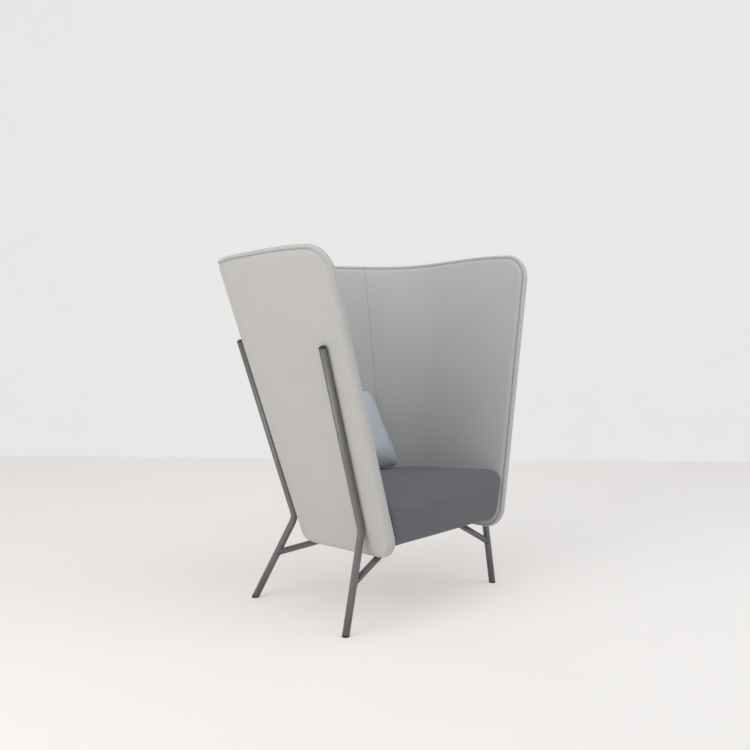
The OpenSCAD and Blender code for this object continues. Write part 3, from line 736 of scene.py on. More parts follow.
@dataclass
class Upholstery:
    """The shell's felt: one outer cover, a lining in three pieces and the rolled edge between them."""

    form: ShellForm = field(default_factory=ShellForm)
    edge_steps: int = 16
    wing_steps: int = 12
    corner_steps: int = 20
    seam_steps: int = 10
    back_steps: int = 16
    back_bunching: float = 1.6
    rows: int = 64
    cover_end: float = 0.0139
    cover_low_end: float = 0.0030
    cover_dip: float = 0.0058
    cover_dip_reach: float = 0.024
    cover_dip_power: float = 2.6
    cover_waves: Triple = (7.0, 0.0005, 3.0)
    cover_fill: float = 0.9
    lining_end: float = 0.0136
    lining_low_end: float = 0.0055
    lining_dip: float = 0.0125
    lining_dip_reach: float = 0.014
    lining_waves: Triple = (6.0, 0.0006, 8.0)
    lining_fill: float = 0.85
    seam_dip: float = 0.0022
    seam_reach: float = 0.007
    tuck_from_seam: float = 0.013
    tuck_depth: float = 0.0009
    tuck_width: float = 0.0016
    roll_inset: float = 0.0076
    roll_low_inset: float = 0.0042
    roll_deep: float = 0.0110
    roll_low_deep: float = 0.0135
    roll_w: float = 0.0200
    roll_h: float = 0.0148
    roll_low_loss: float = 0.46
    roll_waves: Triple = (9.0, 0.012, 5.0)
    tuck_start: float = 0.016
    tuck_run: float = 0.045
    roll_sides: int = 24
    roll_front_steps: int = 60

    def edge_stations(self, inset: float) -> list[Station]:
        """Stations round the front corner, finest at the edge.

        Args:
            inset: Distance of the first one from the front edge.

        Returns:
            The stations.
        """
        r = self.form.edge_run
        turns = [math.radians(90 * i / self.edge_steps) for i in range(self.edge_steps + 1)]
        return [Station(Run.EDGE, inset + (r - inset) * (1 - math.cos(t))) for t in turns]

    def side_stations(self) -> list[Station]:
        """Stations along the flat wing and round the rear corner.

        Returns:
            The stations.
        """
        wing = [Station(Run.WING, i / self.wing_steps) for i in range(1, self.wing_steps + 1)]
        shares = [i / self.corner_steps for i in range(1, self.corner_steps + 1)]
        return wing + [Station(Run.CORNER, self.form.turn_end * s) for s in shares]

    @property
    def seam(self) -> float:
        """Angle of the lining's vertical seam, half way up."""
        return self.form.turn_end + self.form.seam_shift

    def seam_stations(self, last: float) -> list[Station]:
        """Stations from a rear corner to the seam, finest at the seam.

        Args:
            last: Angle of the last one.

        Returns:
            The stations.
        """
        start, drift = self.form.turn_end, self.form.seam_drift
        eased = [math.sin(math.pi / 2 * (i / self.seam_steps)) for i in range(1, self.seam_steps + 1)]
        return [Station(Run.BACK, start + (last - start) * e, drift=drift * e) for e in eased]

    def back_stations(self, first: float) -> list[Station]:
        """Stations from a seam to the middle of the back, finest at the seam.

        Args:
            first: Angle of the first one.

        Returns:
            The stations.
        """
        shares = [(i / self.back_steps) ** self.back_bunching for i in range(self.back_steps + 1)]
        drift = self.form.seam_drift
        return [Station(Run.BACK, first + (90 - first) * s, drift=drift * (1 - s)) for s in shares]

    def both_sides(self, half: Sequence[Station]) -> list[Station]:
        """A run of stations and its mirror image, from right to left."""
        return [*half, *(replace(s, side=Side.LEFT) for s in reversed(half[:-1]))]

    def whole_run(self, inset: float) -> list[Station]:
        """Stations all round the shell, from the right front edge to the left one."""
        half = self.edge_stations(inset) + self.side_stations() + self.seam_stations(self.seam)
        return self.both_sides(half + self.back_stations(self.seam)[1:])

    def seam_distance(self, at: Station, z: float) -> float:
        """Distance along the lining from a station to the vertical seam.

        Args:
            at: Station along the plan.
            z: Height.

        Returns:
            The distance, or a whole metre away from the back.
        """
        if at.run is not Run.BACK:
            return 1.0
        seam = Station(Run.BACK, self.seam, drift=self.form.seam_drift)
        turn = abs(self.form.turn(at, z) - self.form.turn(seam, z))
        return turn * (self.form.back_r(z) - self.form.wall_t)

    def tucked(self, at: Station) -> float:
        """Share of the roll's tuck under the bottom at a station: 0 at the front, 1 further back."""
        return smooth((at.value - self.tuck_start) / self.tuck_run) if at.run is Run.EDGE else 1.0

    def low_end(self, at: Station) -> float:
        """Distance of the outer cover's end from the bottom edge."""
        return self.cover_end + (self.cover_low_end - self.cover_end) * self.tucked(at)

    def inner_low_end(self, at: Station) -> float:
        """Distance of the lining's end from the bottom edge."""
        return self.lining_end + (self.lining_low_end - self.lining_end) * self.tucked(at)

    def padded_wall(
        self,
        name: str,
        stations: Sequence[Station],
        face: Callable[[Station, float], float],
        backing: float,
        ends: tuple[float, Callable[[Station], float]],
    ) -> bpy.types.Object:
        """One covered pad of the wall, closed all round.

        Args:
            name: Name of the piece.
            stations: Stations from one end to the other.
            face: Depth of the visible face at a station and a height.
            backing: Depth of the pad's other face.
            ends: Distances of the pad's ends from the top edge and, at a station, from the bottom edge.

        Returns:
            The piece.
        """
        sections = []
        for at in stations:
            low, top = self.form.low_z(at, ends[1](at)), self.form.top_z(at, ends[0])
            heights = [low + (top - low) * bunched(j / self.rows) for j in range(self.rows + 1)]
            front = [self.form.point(at, z, face(at, z)) for z in heights]
            sections.append(front + [self.form.point(at, z, backing) for z in reversed(heights)])

        def pinched(ring: Sequence[Vector]) -> list[Vector]:
            """The ring pressed flat, to close an end."""
            half = [(ring[j] + ring[-1 - j]) / 2 for j in range(self.rows + 1)]
            return half + list(reversed(half))

        return loft(name, [pinched(sections[0]), *sections, pinched(sections[-1])])

    def cover_face(self, at: Station, z: float) -> float:
        """Depth of the outer cover's face, which falls away softly to the rolled edge.

        Args:
            at: Station along the plan.
            z: Height.

        Returns:
            The depth.
        """
        gap = self.form.rim_distance(at, z, self.cover_end, self.low_end(at))
        share = max(0.0, min(1.0, 1 - gap / self.cover_dip_reach))
        dip = self.cover_dip * share**self.cover_dip_power
        return dip + uneven(self.form.point(at, z), self.cover_waves)

    def lining_face(self, at: Station, z: float) -> float:
        """Depth of the lining's face, which falls away to the rolled edge and to the vertical seams.

        Args:
            at: Station along the plan.
            z: Height.

        Returns:
            The depth.
        """
        gap = self.form.rim_distance(at, z, self.lining_end, self.inner_low_end(at))
        seam = self.seam_distance(at, z)
        dip = round_off(gap, self.lining_dip_reach, self.lining_dip)
        dip += round_off(seam, self.seam_reach, self.seam_dip)
        if at.value > self.seam:
            dip += self.tuck_depth * math.exp(-(((seam - self.tuck_from_seam) / self.tuck_width) ** 2))
        return self.form.wall_t - dip - uneven(self.form.point(at, z), self.lining_waves)

    def roll_path(self) -> list[tuple[Station, float, float]]:
        """The middle line of the rolled edge, once round the rim.

        Returns:
            Stations, heights and tucks, in order.
        """
        form, inset = self.form, self.roll_inset
        whole = self.whole_run(inset)
        top = [(at, form.top_z(at, inset), 0.0) for at in whole]
        low = []
        for at in whole:
            tuck = self.tucked(at)
            low.append((at, form.low_z(at, inset + (self.roll_low_inset - inset) * tuck), tuck))

        def down(at: Station) -> list[tuple[Station, float, float]]:
            """The stretch down one front edge.

            Args:
                at: Station of the edge.

            Returns:
                Stations, heights and tucks, from the top down.
            """
            high, bottom = form.top_z(at, inset), form.low_z(at, inset)
            steps = range(1, self.roll_front_steps)
            return [(at, high + (bottom - high) * j / self.roll_front_steps, 0.0) for j in steps]

        return top + down(whole[-1]) + list(reversed(low)) + list(reversed(down(whole[0])))

    def rolled_edge(self) -> bpy.types.Object:
        """The stuffed roll that runs all the way round the rim, flatter along the bottom.

        Returns:
            The piece.
        """
        path = self.roll_path()
        grow = self.roll_low_deep - self.roll_deep
        line = [self.form.point(at, z, self.roll_deep + grow * tuck) for at, z, tuck in path]
        sections = []
        for i, (at, _, tuck) in enumerate(path):
            half_w, half_h = self.roll_w / 2, self.roll_h / 2 * (1 - self.roll_low_loss * tuck)
            out = self.form.normal(at, line[i].z)
            up = (line[(i + 1) % len(line)] - line[i - 1]).cross(out).normalized()
            wander = 1 + uneven(line[i], self.roll_waves)
            sections.append(circle(line[i], out * half_w, up * half_h, wander, self.roll_sides))
        return loft("rolled_edge", sections, closed=True)

    def build(self) -> None:
        """Makes the cover, the lining and the rolled edge, and dresses them."""
        form = self.form
        run, ends = self.whole_run(self.cover_end), (self.cover_end, self.low_end)
        cover = self.padded_wall("outer_cover_felt", run, self.cover_face, form.outer_t, ends)
        commit(cover, OUTER_FELT, ["outer_cover"])
        backing = form.outer_t + form.core_t + 2 * form.lay_gap
        gap = math.degrees(form.lay_gap / 2 / form.back_r(form.shell_z))
        ends = (self.lining_end, self.inner_low_end)
        right = self.edge_stations(self.lining_end) + self.side_stations()
        right += self.seam_stations(self.seam - gap)
        left = [replace(s, side=Side.LEFT) for s in right]
        back = self.both_sides(self.back_stations(self.seam + gap))
        for name, stations in (("right", right), ("left", left), ("back", back)):
            pad = self.padded_wall(f"{name}_lining_felt", stations, self.lining_face, backing, ends)
            commit(pad, LINING_FELT, [f"inner_{name}_pad"])
        # The roll's felt carries painted shade: a darker tone than the outer cover's.
        commit(self.rolled_edge(), EDGE_FELT_WITH_PAINTED_SHADE, ["edge_welt"])


@dataclass(frozen=True)
class Stuffing:
    """How a cushion is blown up: remeshed, pressed out by cloth, smoothed and divided once."""

    voxel: float
    pressure: float = 4.0
    frames: int = 20
    quality: int = 5
    mass: float = 0.3
    shrink: float = -0.02
    smoothing: float = 0.5
    smooth_rounds: int = 6

    def press(self, piece: bpy.types.Object) -> None:
        """Runs the cloth and applies it.

        Args:
            piece: The cushion.
        """
        activate(piece)
        cloth = piece.modifiers.new("Cloth", "CLOTH")
        cloth.settings.quality = self.quality
        cloth.settings.mass = self.mass
        cloth.settings.use_pressure = True
        cloth.settings.uniform_pressure_force = self.pressure
        cloth.settings.effector_weights.gravity = 0
        cloth.settings.shrink_min = self.shrink
        cloth.point_cache.frame_start = 1
        cloth.point_cache.frame_end = self.frames
        for number in range(1, self.frames + 1):
            bpy.context.scene.frame_set(number)
        bpy.ops.object.modifier_apply(modifier=cloth.name)
        bpy.context.scene.frame_set(1)

    def plump(self, piece: bpy.types.Object, reach: Callable[[Vector], float]) -> None:
        """Blows a cushion up, within a limit at each point.

        Args:
            piece: The cushion's tight form.
            reach: How far the cloth may move from each point of the tight form.
        """
        apply_modifier(piece, "REMESH", mode="VOXEL", voxel_size=self.voxel, use_smooth_shade=True)
        rest = [v.co.copy() for v in piece.data.vertices]
        self.press(piece)
        for v, start in zip(piece.data.vertices, rest):
            move = v.co - start
            limit = reach(start)
            if move.length > limit:
                v.co = start + move.normalized() * limit
        apply_modifier(
            piece,
            "CORRECTIVE_SMOOTH",
            factor=self.smoothing,
            iterations=self.smooth_rounds,
            use_only_smooth=True,
        )
        apply_modifier(piece, "SUBSURF", levels=1, render_levels=1)
        activate(piece)
        bpy.ops.object.shade_smooth()


@dataclass
class SeatCushion:
    """The dark seat block, which follows the lining round the back."""

    form: ShellForm = field(default_factory=ShellForm)
    stuffing: Stuffing = Stuffing(voxel=0.006)
    fill: float = 0.9
    seat_h: float = 0.463
    setback: float = 0.012
    slope: float = 5.1
    nose_r: float = 0.044
    side_r: float = 0.015
    crown: float = 0.012
    slack_share: float = 0.35
    board_z: float = 0.290
    board_t: float = 0.015
    lip_share: float = 0.41
    lip_end: float = 1.6
    lip_fade: float = 0.6
    edge_rise: float = 0.005
    front_bow: float = 0.005
    front_points: int = 24
    side_points: int = 24
    corner_points: int = 20
    back_points: int = 12
    heel_start: float = 48
    heel_turn: float = 42
    heel_steps: int = 6
    nose_steps: int = 8
    board_shares: tuple[float, ...] = (0.0, 0.5)
    heel_share: float = 0.97
    crown_shares: tuple[float, ...] = (0.93, 0.8, 0.6, 0.4, 0.2, 0.0)
    reach_least: float = 0.0008
    reach_top: float = 0.006
    reach_face: float = 0.002
    side_fade: float = 0.05
    top_band: tuple[float, float] = (0.06, 0.03)
    face_band: float = 0.02

    @property
    def edge_z(self) -> float:
        """Height of the cushion's bottom front edge."""
        return self.form.shell_z + self.setback + self.edge_rise

    @property
    def board_top(self) -> float:
        """Height of the board's top."""
        return self.board_z + self.board_t

    @property
    def heel_r(self) -> float:
        """Radius of the bottom front edge."""
        return self.form.low_edge_r - self.setback

    @property
    def lip(self) -> float:
        """How far the cushion reaches in front of the board."""
        return self.form.low_edge_r * self.lip_share

    @property
    def front_y(self) -> float:
        """Place of the front face at its corners."""
        middle = (self.edge_z + self.seat_h) / 2
        return self.form.front_y + self.setback + self.form.front_lean * self.form.rise(middle)

    @property
    def middle_y(self) -> float:
        """Middle of the seat's depth."""
        return self.front_y + (self.form.low_depth - self.form.wall_t) / 2

    def top_z(self, y: float) -> float:
        """Height of the top, crown apart, at a depth."""
        return self.seat_h - max(0.0, y - self.front_y - self.nose_r) * math.tan(math.radians(self.slope))

    def front_share(self, y: float) -> float:
        """1 at the front face, fading to 0 along the sides."""
        return 1 - smooth((y - self.front_y) / self.nose_r / 2)

    def outline(self, z: float, side_in: float, front_in: float) -> list[Vector]:
        """The cushion's outline at a height, from the front's left end round by the right side.

        Args:
            z: Height.
            side_in: Distance inwards at the sides and the back.
            front_in: Distance inwards at the front.

        Returns:
            The outline's points.
        """
        form = self.form
        deep = form.wall_t + form.lay_gap + side_in
        start, end = self.front_y + front_in, form.corner_y(z)
        x = form.level_point(Station(Run.WING, 0.0), z, deep).x
        steps = range(self.side_points)
        right = [Vector((x, start + (end - start) * i / self.side_points, z)) for i in steps]
        for i in range(self.corner_points + 1):
            at = Station(Run.CORNER, form.turn_end * i / self.corner_points)
            right.append(form.level_point(at, z, deep))
        for i in range(1, self.back_points + 1):
            at = Station(Run.BACK, form.turn_end + form.back_turn * i / self.back_points)
            right.append(form.level_point(at, z, deep))
        front = []
        for i in range(1, self.front_points + 1):
            share = 2 * i / (self.front_points + 1) - 1
            front.append(Vector((x * share, start - self.front_bow * (1 - share * share), z)))
        left = [Vector((-p.x, p.y, p.z)) for p in reversed(right[:-1])]
        return front + right + left

    def nose_ring(self, turn: float, drop: float) -> list[Vector]:
        """A ring part way round the top edge.

        Args:
            turn: From 0 degrees on the sides to 90 on top.
            drop: Distance below the tight form's top.

        Returns:
            The ring.
        """
        t = math.radians(turn)
        ring = []
        for i, p in enumerate(self.outline(self.seat_h - self.nose_r, 0.0, 0.0)):
            f = self.front_share(p.y)
            r = self.side_r + (self.nose_r - self.side_r) * f
            z = self.top_z(p.y) - drop - r * (1 - math.sin(t))
            side_in = self.side_r * (1 - math.cos(t)) * (1 - f)
            front_in = self.nose_r * (1 - math.cos(t)) * f
            ring.append(self.outline(z, side_in, front_in)[i])
        return ring

    def heel_ring(self, turn: float) -> list[Vector]:
        """A ring part way round the bottom front edge.

        Args:
            turn: From 0 degrees below to 90 on the face.

        Returns:
            The ring.
        """
        t = math.radians(turn)
        z = self.edge_z + self.heel_r * (1 - math.cos(t))
        ring = []
        for p in self.outline(z, 0.0, self.heel_r * (1 - math.sin(t))):
            lip = smooth((self.front_y + self.lip * self.lip_end - p.y) / (self.lip * self.lip_fade))
            ring.append(Vector((p.x, p.y, max(z, self.board_top - (self.board_top - z) * lip))))
        return ring

    def shrunk(
        self, ring: Sequence[Vector], share: float, height: Callable[[Vector, float], float]
    ) -> list[Vector]:
        """A ring drawn towards the seat's middle.

        Args:
            ring: The ring.
            share: Share of its size that is left.
            height: Height of each point, from the old point and its new depth.

        Returns:
            The new ring.
        """
        depths = [self.middle_y + (p.y - self.middle_y) * share for p in ring]
        return [Vector((p.x * share, y, height(p, y))) for p, y in zip(ring, depths)]

    def reach(self, p: Vector) -> float:
        """How far the cloth may move.

        Args:
            p: The point of the tight form that it starts from.

        Returns:
            The distance.
        """
        inner = smooth((self.form.half_w(p.z) - self.form.wall_t - abs(p.x)) / self.side_fade)
        above = smooth((p.z - self.seat_h + self.top_band[0]) / self.top_band[1])
        face = smooth((self.front_y + self.face_band - p.y) / self.face_band)
        return self.reach_least + self.reach_top * above * inner + self.reach_face * face * inner

    def build(self) -> None:
        """Makes the stuffed cushion and dresses it."""
        slack = self.slack_share * self.crown
        first = self.heel_ring(self.heel_start)
        rings = [self.shrunk(first, share, lambda p, y: self.board_top) for share in self.board_shares]
        rings.append(self.shrunk(first, self.heel_share, lambda p, y: p.z))
        for i in range(self.heel_steps + 1):
            rings.append(self.heel_ring(self.heel_start + self.heel_turn * i / self.heel_steps))
        rings += [self.nose_ring(90 * i / self.nose_steps, slack) for i in range(self.nose_steps + 1)]
        last = rings[-1]
        for share in self.crown_shares:
            rise = (self.crown - slack) * (1 - share * share)
            rings.append(self.shrunk(last, share, lambda p, y: self.top_z(y) - slack + rise))
        cushion = loft("seat_cushion_felt", rings)
        self.stuffing.plump(cushion, self.reach)
        commit(cushion, SEAT_FELT, ["seat_cushion"])


@dataclass
class BackPillow:
    """The loose pillow: two panels sewn together all round, leaning in the shell."""

    stuffing: Stuffing = Stuffing(voxel=0.005)
    fill: float = 0.7
    width: float = 0.498
    height: float = 0.340
    thickness: float = 0.128
    lean: float = 30.0
    foot: Triple = (0.0, 0.0209, 0.4305)
    pull: float = 0.021
    pull_up_share: float = 0.67
    rim: float = 0.012
    round_share: float = 0.07
    round_power: float = 6.0
    slack_side: float = 0.86
    columns: int = 56
    rows: int = 40
    reach_least: float = 0.001
    reach_most: float = 0.013
    reach_fade: float = 0.25
    seam_r: float = 0.0016
    seam_share: float = 0.997
    seam_steps: int = 200
    seam_sides: int = 8

    @property
    def along(self) -> Vector:
        """Direction up the pillow."""
        lean = math.radians(self.lean)
        return Vector((0, math.sin(lean), math.cos(lean)))

    def place(self, u: float, v: float, side: float) -> Vector:
        """A point of the tight pillow.

        Args:
            u: Share across, from -1 to 1.
            v: Share up, from -1 to 1.
            side: 1 for the front panel, -1 for the back one, 0 for the seam between them.

        Returns:
            The point in the model's frame.
        """
        draw = 1 - self.round_share * abs(u * v) ** self.round_power
        x = u * (self.width / 2 - self.pull * (1 - v * v)) * draw
        half = self.height / 2
        up = v * (half - self.pull * self.pull_up_share * (1 - u * u)) * draw + half
        swell = max(0.0, (1 - u**4) * (1 - v**4)) ** 0.5
        out = side * (self.rim + (self.thickness - self.rim) * swell) / 2
        lean = math.radians(self.lean)
        y = up * math.sin(lean) - out * math.cos(lean)
        z = up * math.cos(lean) + out * math.sin(lean)
        return Vector((x, y, z)) + Vector(self.foot)

    def reach(self, p: Vector) -> float:
        """How far the cloth may move.

        Args:
            p: The point of the tight form that it starts from.

        Returns:
            The distance.
        """
        u = abs(p.x) / (self.width / 2)
        v = abs((p - Vector(self.foot)).dot(self.along) - self.height / 2) / (self.height / 2)
        return self.reach_least + self.reach_most * smooth((1 - max(u, v)) / self.reach_fade)

    def build(self) -> None:
        """Makes the stuffed pillow with its seam and dresses it."""
        us, vs = (
            [math.sin(math.pi / 2 * (2 * i / count - 1)) for i in range(count + 1)]
            for count in (self.columns, self.rows)
        )
        sections = []
        for u in us:
            front = [self.place(u, v, self.slack_side) for v in vs]
            sections.append(front + [self.place(u, v, -self.slack_side) for v in reversed(vs)])
        middles = [[self.place(u, v, 0) for v in vs] for u in (us[0], us[-1])]
        ends = [m + list(reversed(m)) for m in middles]
        pillow = loft("back_pillow_felt", [ends[0], *sections, ends[1]])
        self.stuffing.plump(pillow, self.reach)
        seam = self.seam_cord()
        activate(pillow, seam)
        PILLOW_FELT.cover(pillow)
        PILLOW_FELT.cover(seam)
        bpy.ops.object.join()
        commit(pillow, PILLOW_FELT, ["back_pillow"], body=PILLOW)

    def seam_cord(self) -> bpy.types.Object:
        """The thin sewn ridge where the two panels meet.

        Returns:
            The ridge, as a piece of its own.
        """
        line = []
        for t in (2 * math.pi * i / self.seam_steps for i in range(self.seam_steps)):
            c, s = math.cos(t), math.sin(t)
            size = max(abs(c), abs(s))
            line.append(self.place(c / size * self.seam_share, s / size * self.seam_share, 0))
        out = Vector((0, -self.along.z, self.along.y))
        sections = []
        for i, p in enumerate(line):
            ahead = (line[(i + 1) % len(line)] - line[i - 1]).normalized()
            sections.append(circle(p, out, ahead.cross(out).normalized(), self.seam_r, self.seam_sides))
        return loft("pillow_seam", sections, closed=True)


@dataclass
class LegFrame:
    """Bent legs, straight struts, caps and feet of one side, and their mirror images."""

    form: ShellForm = field(default_factory=ShellForm)
    tube_r: float = 0.0125
    strut_r: float = 0.011
    bend_r: float = 0.055
    bend_steps: int = 10
    rest_gap: float = 0.0003
    leg_inset: float = 0.121
    front_foot_x: float = 0.4125
    rear_foot_x: float = 0.334
    foot_base: float = 0.527
    front_bend_z: float = 0.334
    rear_bend_z: float = 0.304
    leg_top_z: float = 0.936
    front_leg_lean: float = 0.032
    strut_z: float = 0.168
    rear_turn: float = 53.0
    rail_x: float = 0.161
    rail_z: float = 0.282
    rail_len: float = 0.211
    rail_w: float = 0.040
    weld_sink: float = 0.0004
    weld_r: float = 0.0017
    weld_sides: int = 8
    foot_h: float = 0.0065
    foot_shares: tuple[float, float] = (0.97, 1.01)
    foot_chamfer: float = 0.0006
    foot_rim: tuple[tuple[float, float], ...] = ((0.0, 0.0012), (0.0004, 0.0004), (0.0012, 0.0))
    cap_h: float = 0.0095
    cap_profile: tuple[tuple[float, float], ...] = (
        (-0.004, 0.0),
        (-0.004, 0.8),
        (-0.0002, 0.8),
        (0.0, 0.985),
        (0.0006, 1.01),
        (0.0016, 1.01),
    )
    dome_steps: int = 9
    sides: int = 40

    @property
    def leg_y(self) -> float:
        """Place of the front legs' feet."""
        return self.form.front_y + self.leg_inset

    @property
    def stand_off(self) -> float:
        """Distance from the shell to a tube's middle line."""
        return self.tube_r + self.rest_gap

    def front_path(self) -> list[Vector]:
        """Middle line of the right front leg.

        Returns:
            Foot, bend and top.
        """
        out = self.stand_off * math.hypot(1, self.form.slope(Station(Run.WING, 0.0)))
        bend_x, top_x = (self.form.half_w(z) + out for z in (self.front_bend_z, self.leg_top_z))
        return [
            Vector((self.front_foot_x, self.leg_y, 0)),
            Vector((bend_x, self.leg_y, self.front_bend_z)),
            Vector((top_x, self.leg_y + self.front_leg_lean, self.leg_top_z)),
        ]

    def rear_path(self) -> list[Vector]:
        """Middle line of the right rear leg.

        Returns:
            Foot, bend and top.
        """
        at = Station(Run.CORNER, self.rear_turn)
        foot = Vector((self.rear_foot_x, self.leg_y + self.foot_base, 0))
        heights = (self.rear_bend_z, self.leg_top_z)
        return [foot, *(self.form.point(at, z, -self.stand_off) for z in heights)]

    def ring(self, middle: Vector, ahead: Vector, across: Vector, radius: float) -> list[Vector]:
        """A circle of points square to a direction."""
        a = across.normalized()
        return circle(middle, a, ahead.normalized().cross(a), radius, self.sides)

    def dot(self, place: Vector) -> list[Vector]:
        """A ring with all its points in one place."""
        return [place] * self.sides

    def leg(self, name: str, path: Sequence[Vector]) -> bpy.types.Object:
        """A tube with one round bend, from its foot to its top.

        Args:
            name: Name of the piece.
            path: Foot, bend and top.

        Returns:
            The piece.
        """
        u1 = (path[1] - path[0]).normalized()
        u2 = (path[2] - path[1]).normalized()
        turn = u1.angle(u2)
        reach = self.bend_r * math.tan(turn / 2)
        axis = u1.cross(u2).normalized()
        start = path[0] + u1 * (self.foot_h / u1.z)
        bend = path[1] - u1 * reach
        centre = bend + axis.cross(u1) * self.bend_r
        rings = [self.ring(p, u1, axis, self.tube_r) for p in (start, bend)]
        for i in range(1, self.bend_steps + 1):
            spin = Matrix.Rotation(turn * i / self.bend_steps, 3, axis)
            rings.append([centre + spin @ (p - centre) for p in rings[1]])
        rings.append([p + (path[2] - path[1] - u2 * reach) for p in rings[-1]])
        return loft(name, [self.dot(start), *rings, self.dot(path[2])])

    def build(self) -> None:
        """Makes both sides' tubes, caps and feet and dresses them."""
        for end, path in (("front", self.front_path()), ("rear", self.rear_path())):
            for side in Side:
                flip = [Vector((side.value * p.x, p.y, p.z)) for p in path]
                name = f"{end}_{side.name.lower()}"
                leg = self.leg(f"{name}_leg_tube", flip)
                commit(leg, TUBE_PAINT, [f"{name}_leg"])
                commit(self.strut(name, flip), TUBE_PAINT, [f"{name}_strut"])
                commit(self.cap(name, flip), BLACK_PLASTIC, [f"{name}_tube_cap"])
                commit(self.glide(name, flip), BLACK_PLASTIC, [f"{name}_foot"])

    def strut(self, name: str, path: Sequence[Vector]) -> bpy.types.Object:
        """A straight tube from a leg to the rail, with its weld at the leg.

        Args:
            name: Name of the leg.
            path: The leg's foot, bend and top.

        Returns:
            The piece.
        """
        along = (path[1] - path[0]).normalized()
        start = path[0] + along * (self.strut_z / along.z)
        side = 1 if start.x > 0 else -1
        front = name.startswith("front")
        y = self.leg_y if front else self.leg_y - self.rail_w / 2 + self.rail_len - 2 * self.tube_r
        ahead = (Vector((side * self.rail_x, y, self.rail_z)) - start).normalized()
        first, last = [], []
        for p in self.ring(Vector((0, 0, 0)), ahead, ahead.cross(UP).normalized(), self.strut_r):
            rel = start + p - path[0]
            flat = rel - along * rel.dot(along)
            d = ahead - along * ahead.dot(along)
            a, b, c = d.dot(d), 2 * flat.dot(d), flat.dot(flat) - (self.tube_r - self.weld_sink) ** 2
            t = (-b + math.sqrt(max(0.0, b * b - 4 * a * c))) / (2 * a)
            first.append(start + p + ahead * t)
            last.append(start + p + ahead * ((self.rail_z - start.z - p.z) / ahead.z))
        ends = [self.dot(sum(ring, Vector()) / len(ring)) for ring in (first, last)]
        tube = loft(f"{name}_strut_tube", [ends[0], first, last, ends[1]])
        weld_rings = []
        for i, p in enumerate(first):
            run = (first[(i + 1) % len(first)] - first[i - 1]).normalized()
            a = (p - start).normalized()
            weld_rings.append(circle(p, a, run.cross(a), self.weld_r, self.weld_sides))
        weld = loft(f"{name}_weld", weld_rings, closed=True)
        activate(tube, weld)
        bpy.ops.object.join()
        return tube

    def cap(self, name: str, path: Sequence[Vector]) -> bpy.types.Object:
        """The domed plastic cap on a tube's top.

        Args:
            name: Name of the leg.
            path: The leg's foot, bend and top.

        Returns:
            The piece.
        """
        r, low = self.tube_r, self.cap_profile[-1][0]
        profile = [(h, r * share) for h, share in self.cap_profile]
        for i in range(1, self.dome_steps):
            t = math.radians(90 * i / self.dome_steps)
            profile.append((low + (self.cap_h - low) * math.sin(t), r * math.cos(t)))
        profile.append((self.cap_h, 0.0))
        d = path[2] - path[1]
        across = d.cross(Vector((0, 1, 0))).normalized()
        d = d.normalized()
        rings = []
        for h, w in profile:
            middle = path[2] + d * h
            rings.append(self.ring(middle, d, across, w) if w else self.dot(middle))
        return loft(f"{name}_cap_dome", rings)

    def glide(self, name: str, path: Sequence[Vector]) -> bpy.types.Object:
        """The plastic glide under a leg, cut level with the floor.

        Args:
            name: Name of the leg.
            path: The leg's foot, bend and top.

        Returns:
            The piece.
        """
        d = (path[1] - path[0]).normalized()
        across = d.cross(Vector((0, 1, 0))).normalized()
        top = path[0] + d * (self.foot_h / d.z)
        least, most = (self.tube_r * share for share in self.foot_shares)
        rings = [self.dot(top), self.ring(top, d, across, least)]
        rings.append([p - d * self.foot_chamfer for p in self.ring(top, d, across, most)])
        for inset, z in self.foot_rim:
            rings.append([p - d * ((p.z - z) / d.z) for p in self.ring(top, d, across, most - inset)])
        rings.append(self.dot(sum(rings[-1], Vector()) / self.sides))
        return loft(f"{name}_glide", rings)


@dataclass
class HiddenParts:
    """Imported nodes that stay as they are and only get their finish."""

    plies: tuple[str, ...] = ("shell_core", "seat_board")
    bars: tuple[str, ...] = ("left_rail", "right_rail")
    fittings: tuple[str, ...] = (
        "left_bracket",
        "right_bracket",
        "leg_spacers",
        "leg_bushes",
        "leg_screws",
        "rail_screws",
        "board_inserts",
        "bracket_screws",
        "wall_screws",
    )

    def build(self) -> None:
        """Dresses the nodes."""
        for names, finish in ((self.plies, BARE_PLY), (self.bars, TUBE_PAINT), (self.fittings, ZINC_STEEL)):
            for name in names:
                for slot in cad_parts[name].material_slots:
                    slot.material = finish.material()
                LOG.info("%s: kept", name)


@dataclass(frozen=True)
class Lamp:
    """A square soft lamp."""

    name: str
    place: Triple
    size: float
    power: float
    colour: Triple = (1.0, 1.0, 1.0)

    def build(self, target: Vector) -> None:
        """Makes the lamp, facing a target.

        Args:
            target: The point that it faces.
        """
        data = bpy.data.lights.new(self.name, "AREA")
        data.shape = "SQUARE"
        data.size = self.size
        data.energy = self.power
        data.color = self.colour
        lamp = bpy.data.objects.new(self.name, data)
        bpy.context.scene.collection.objects.link(lamp)
        lamp.location = self.place
        lamp.rotation_euler = (target - Vector(self.place)).to_track_quat("-Z", "Y").to_euler()


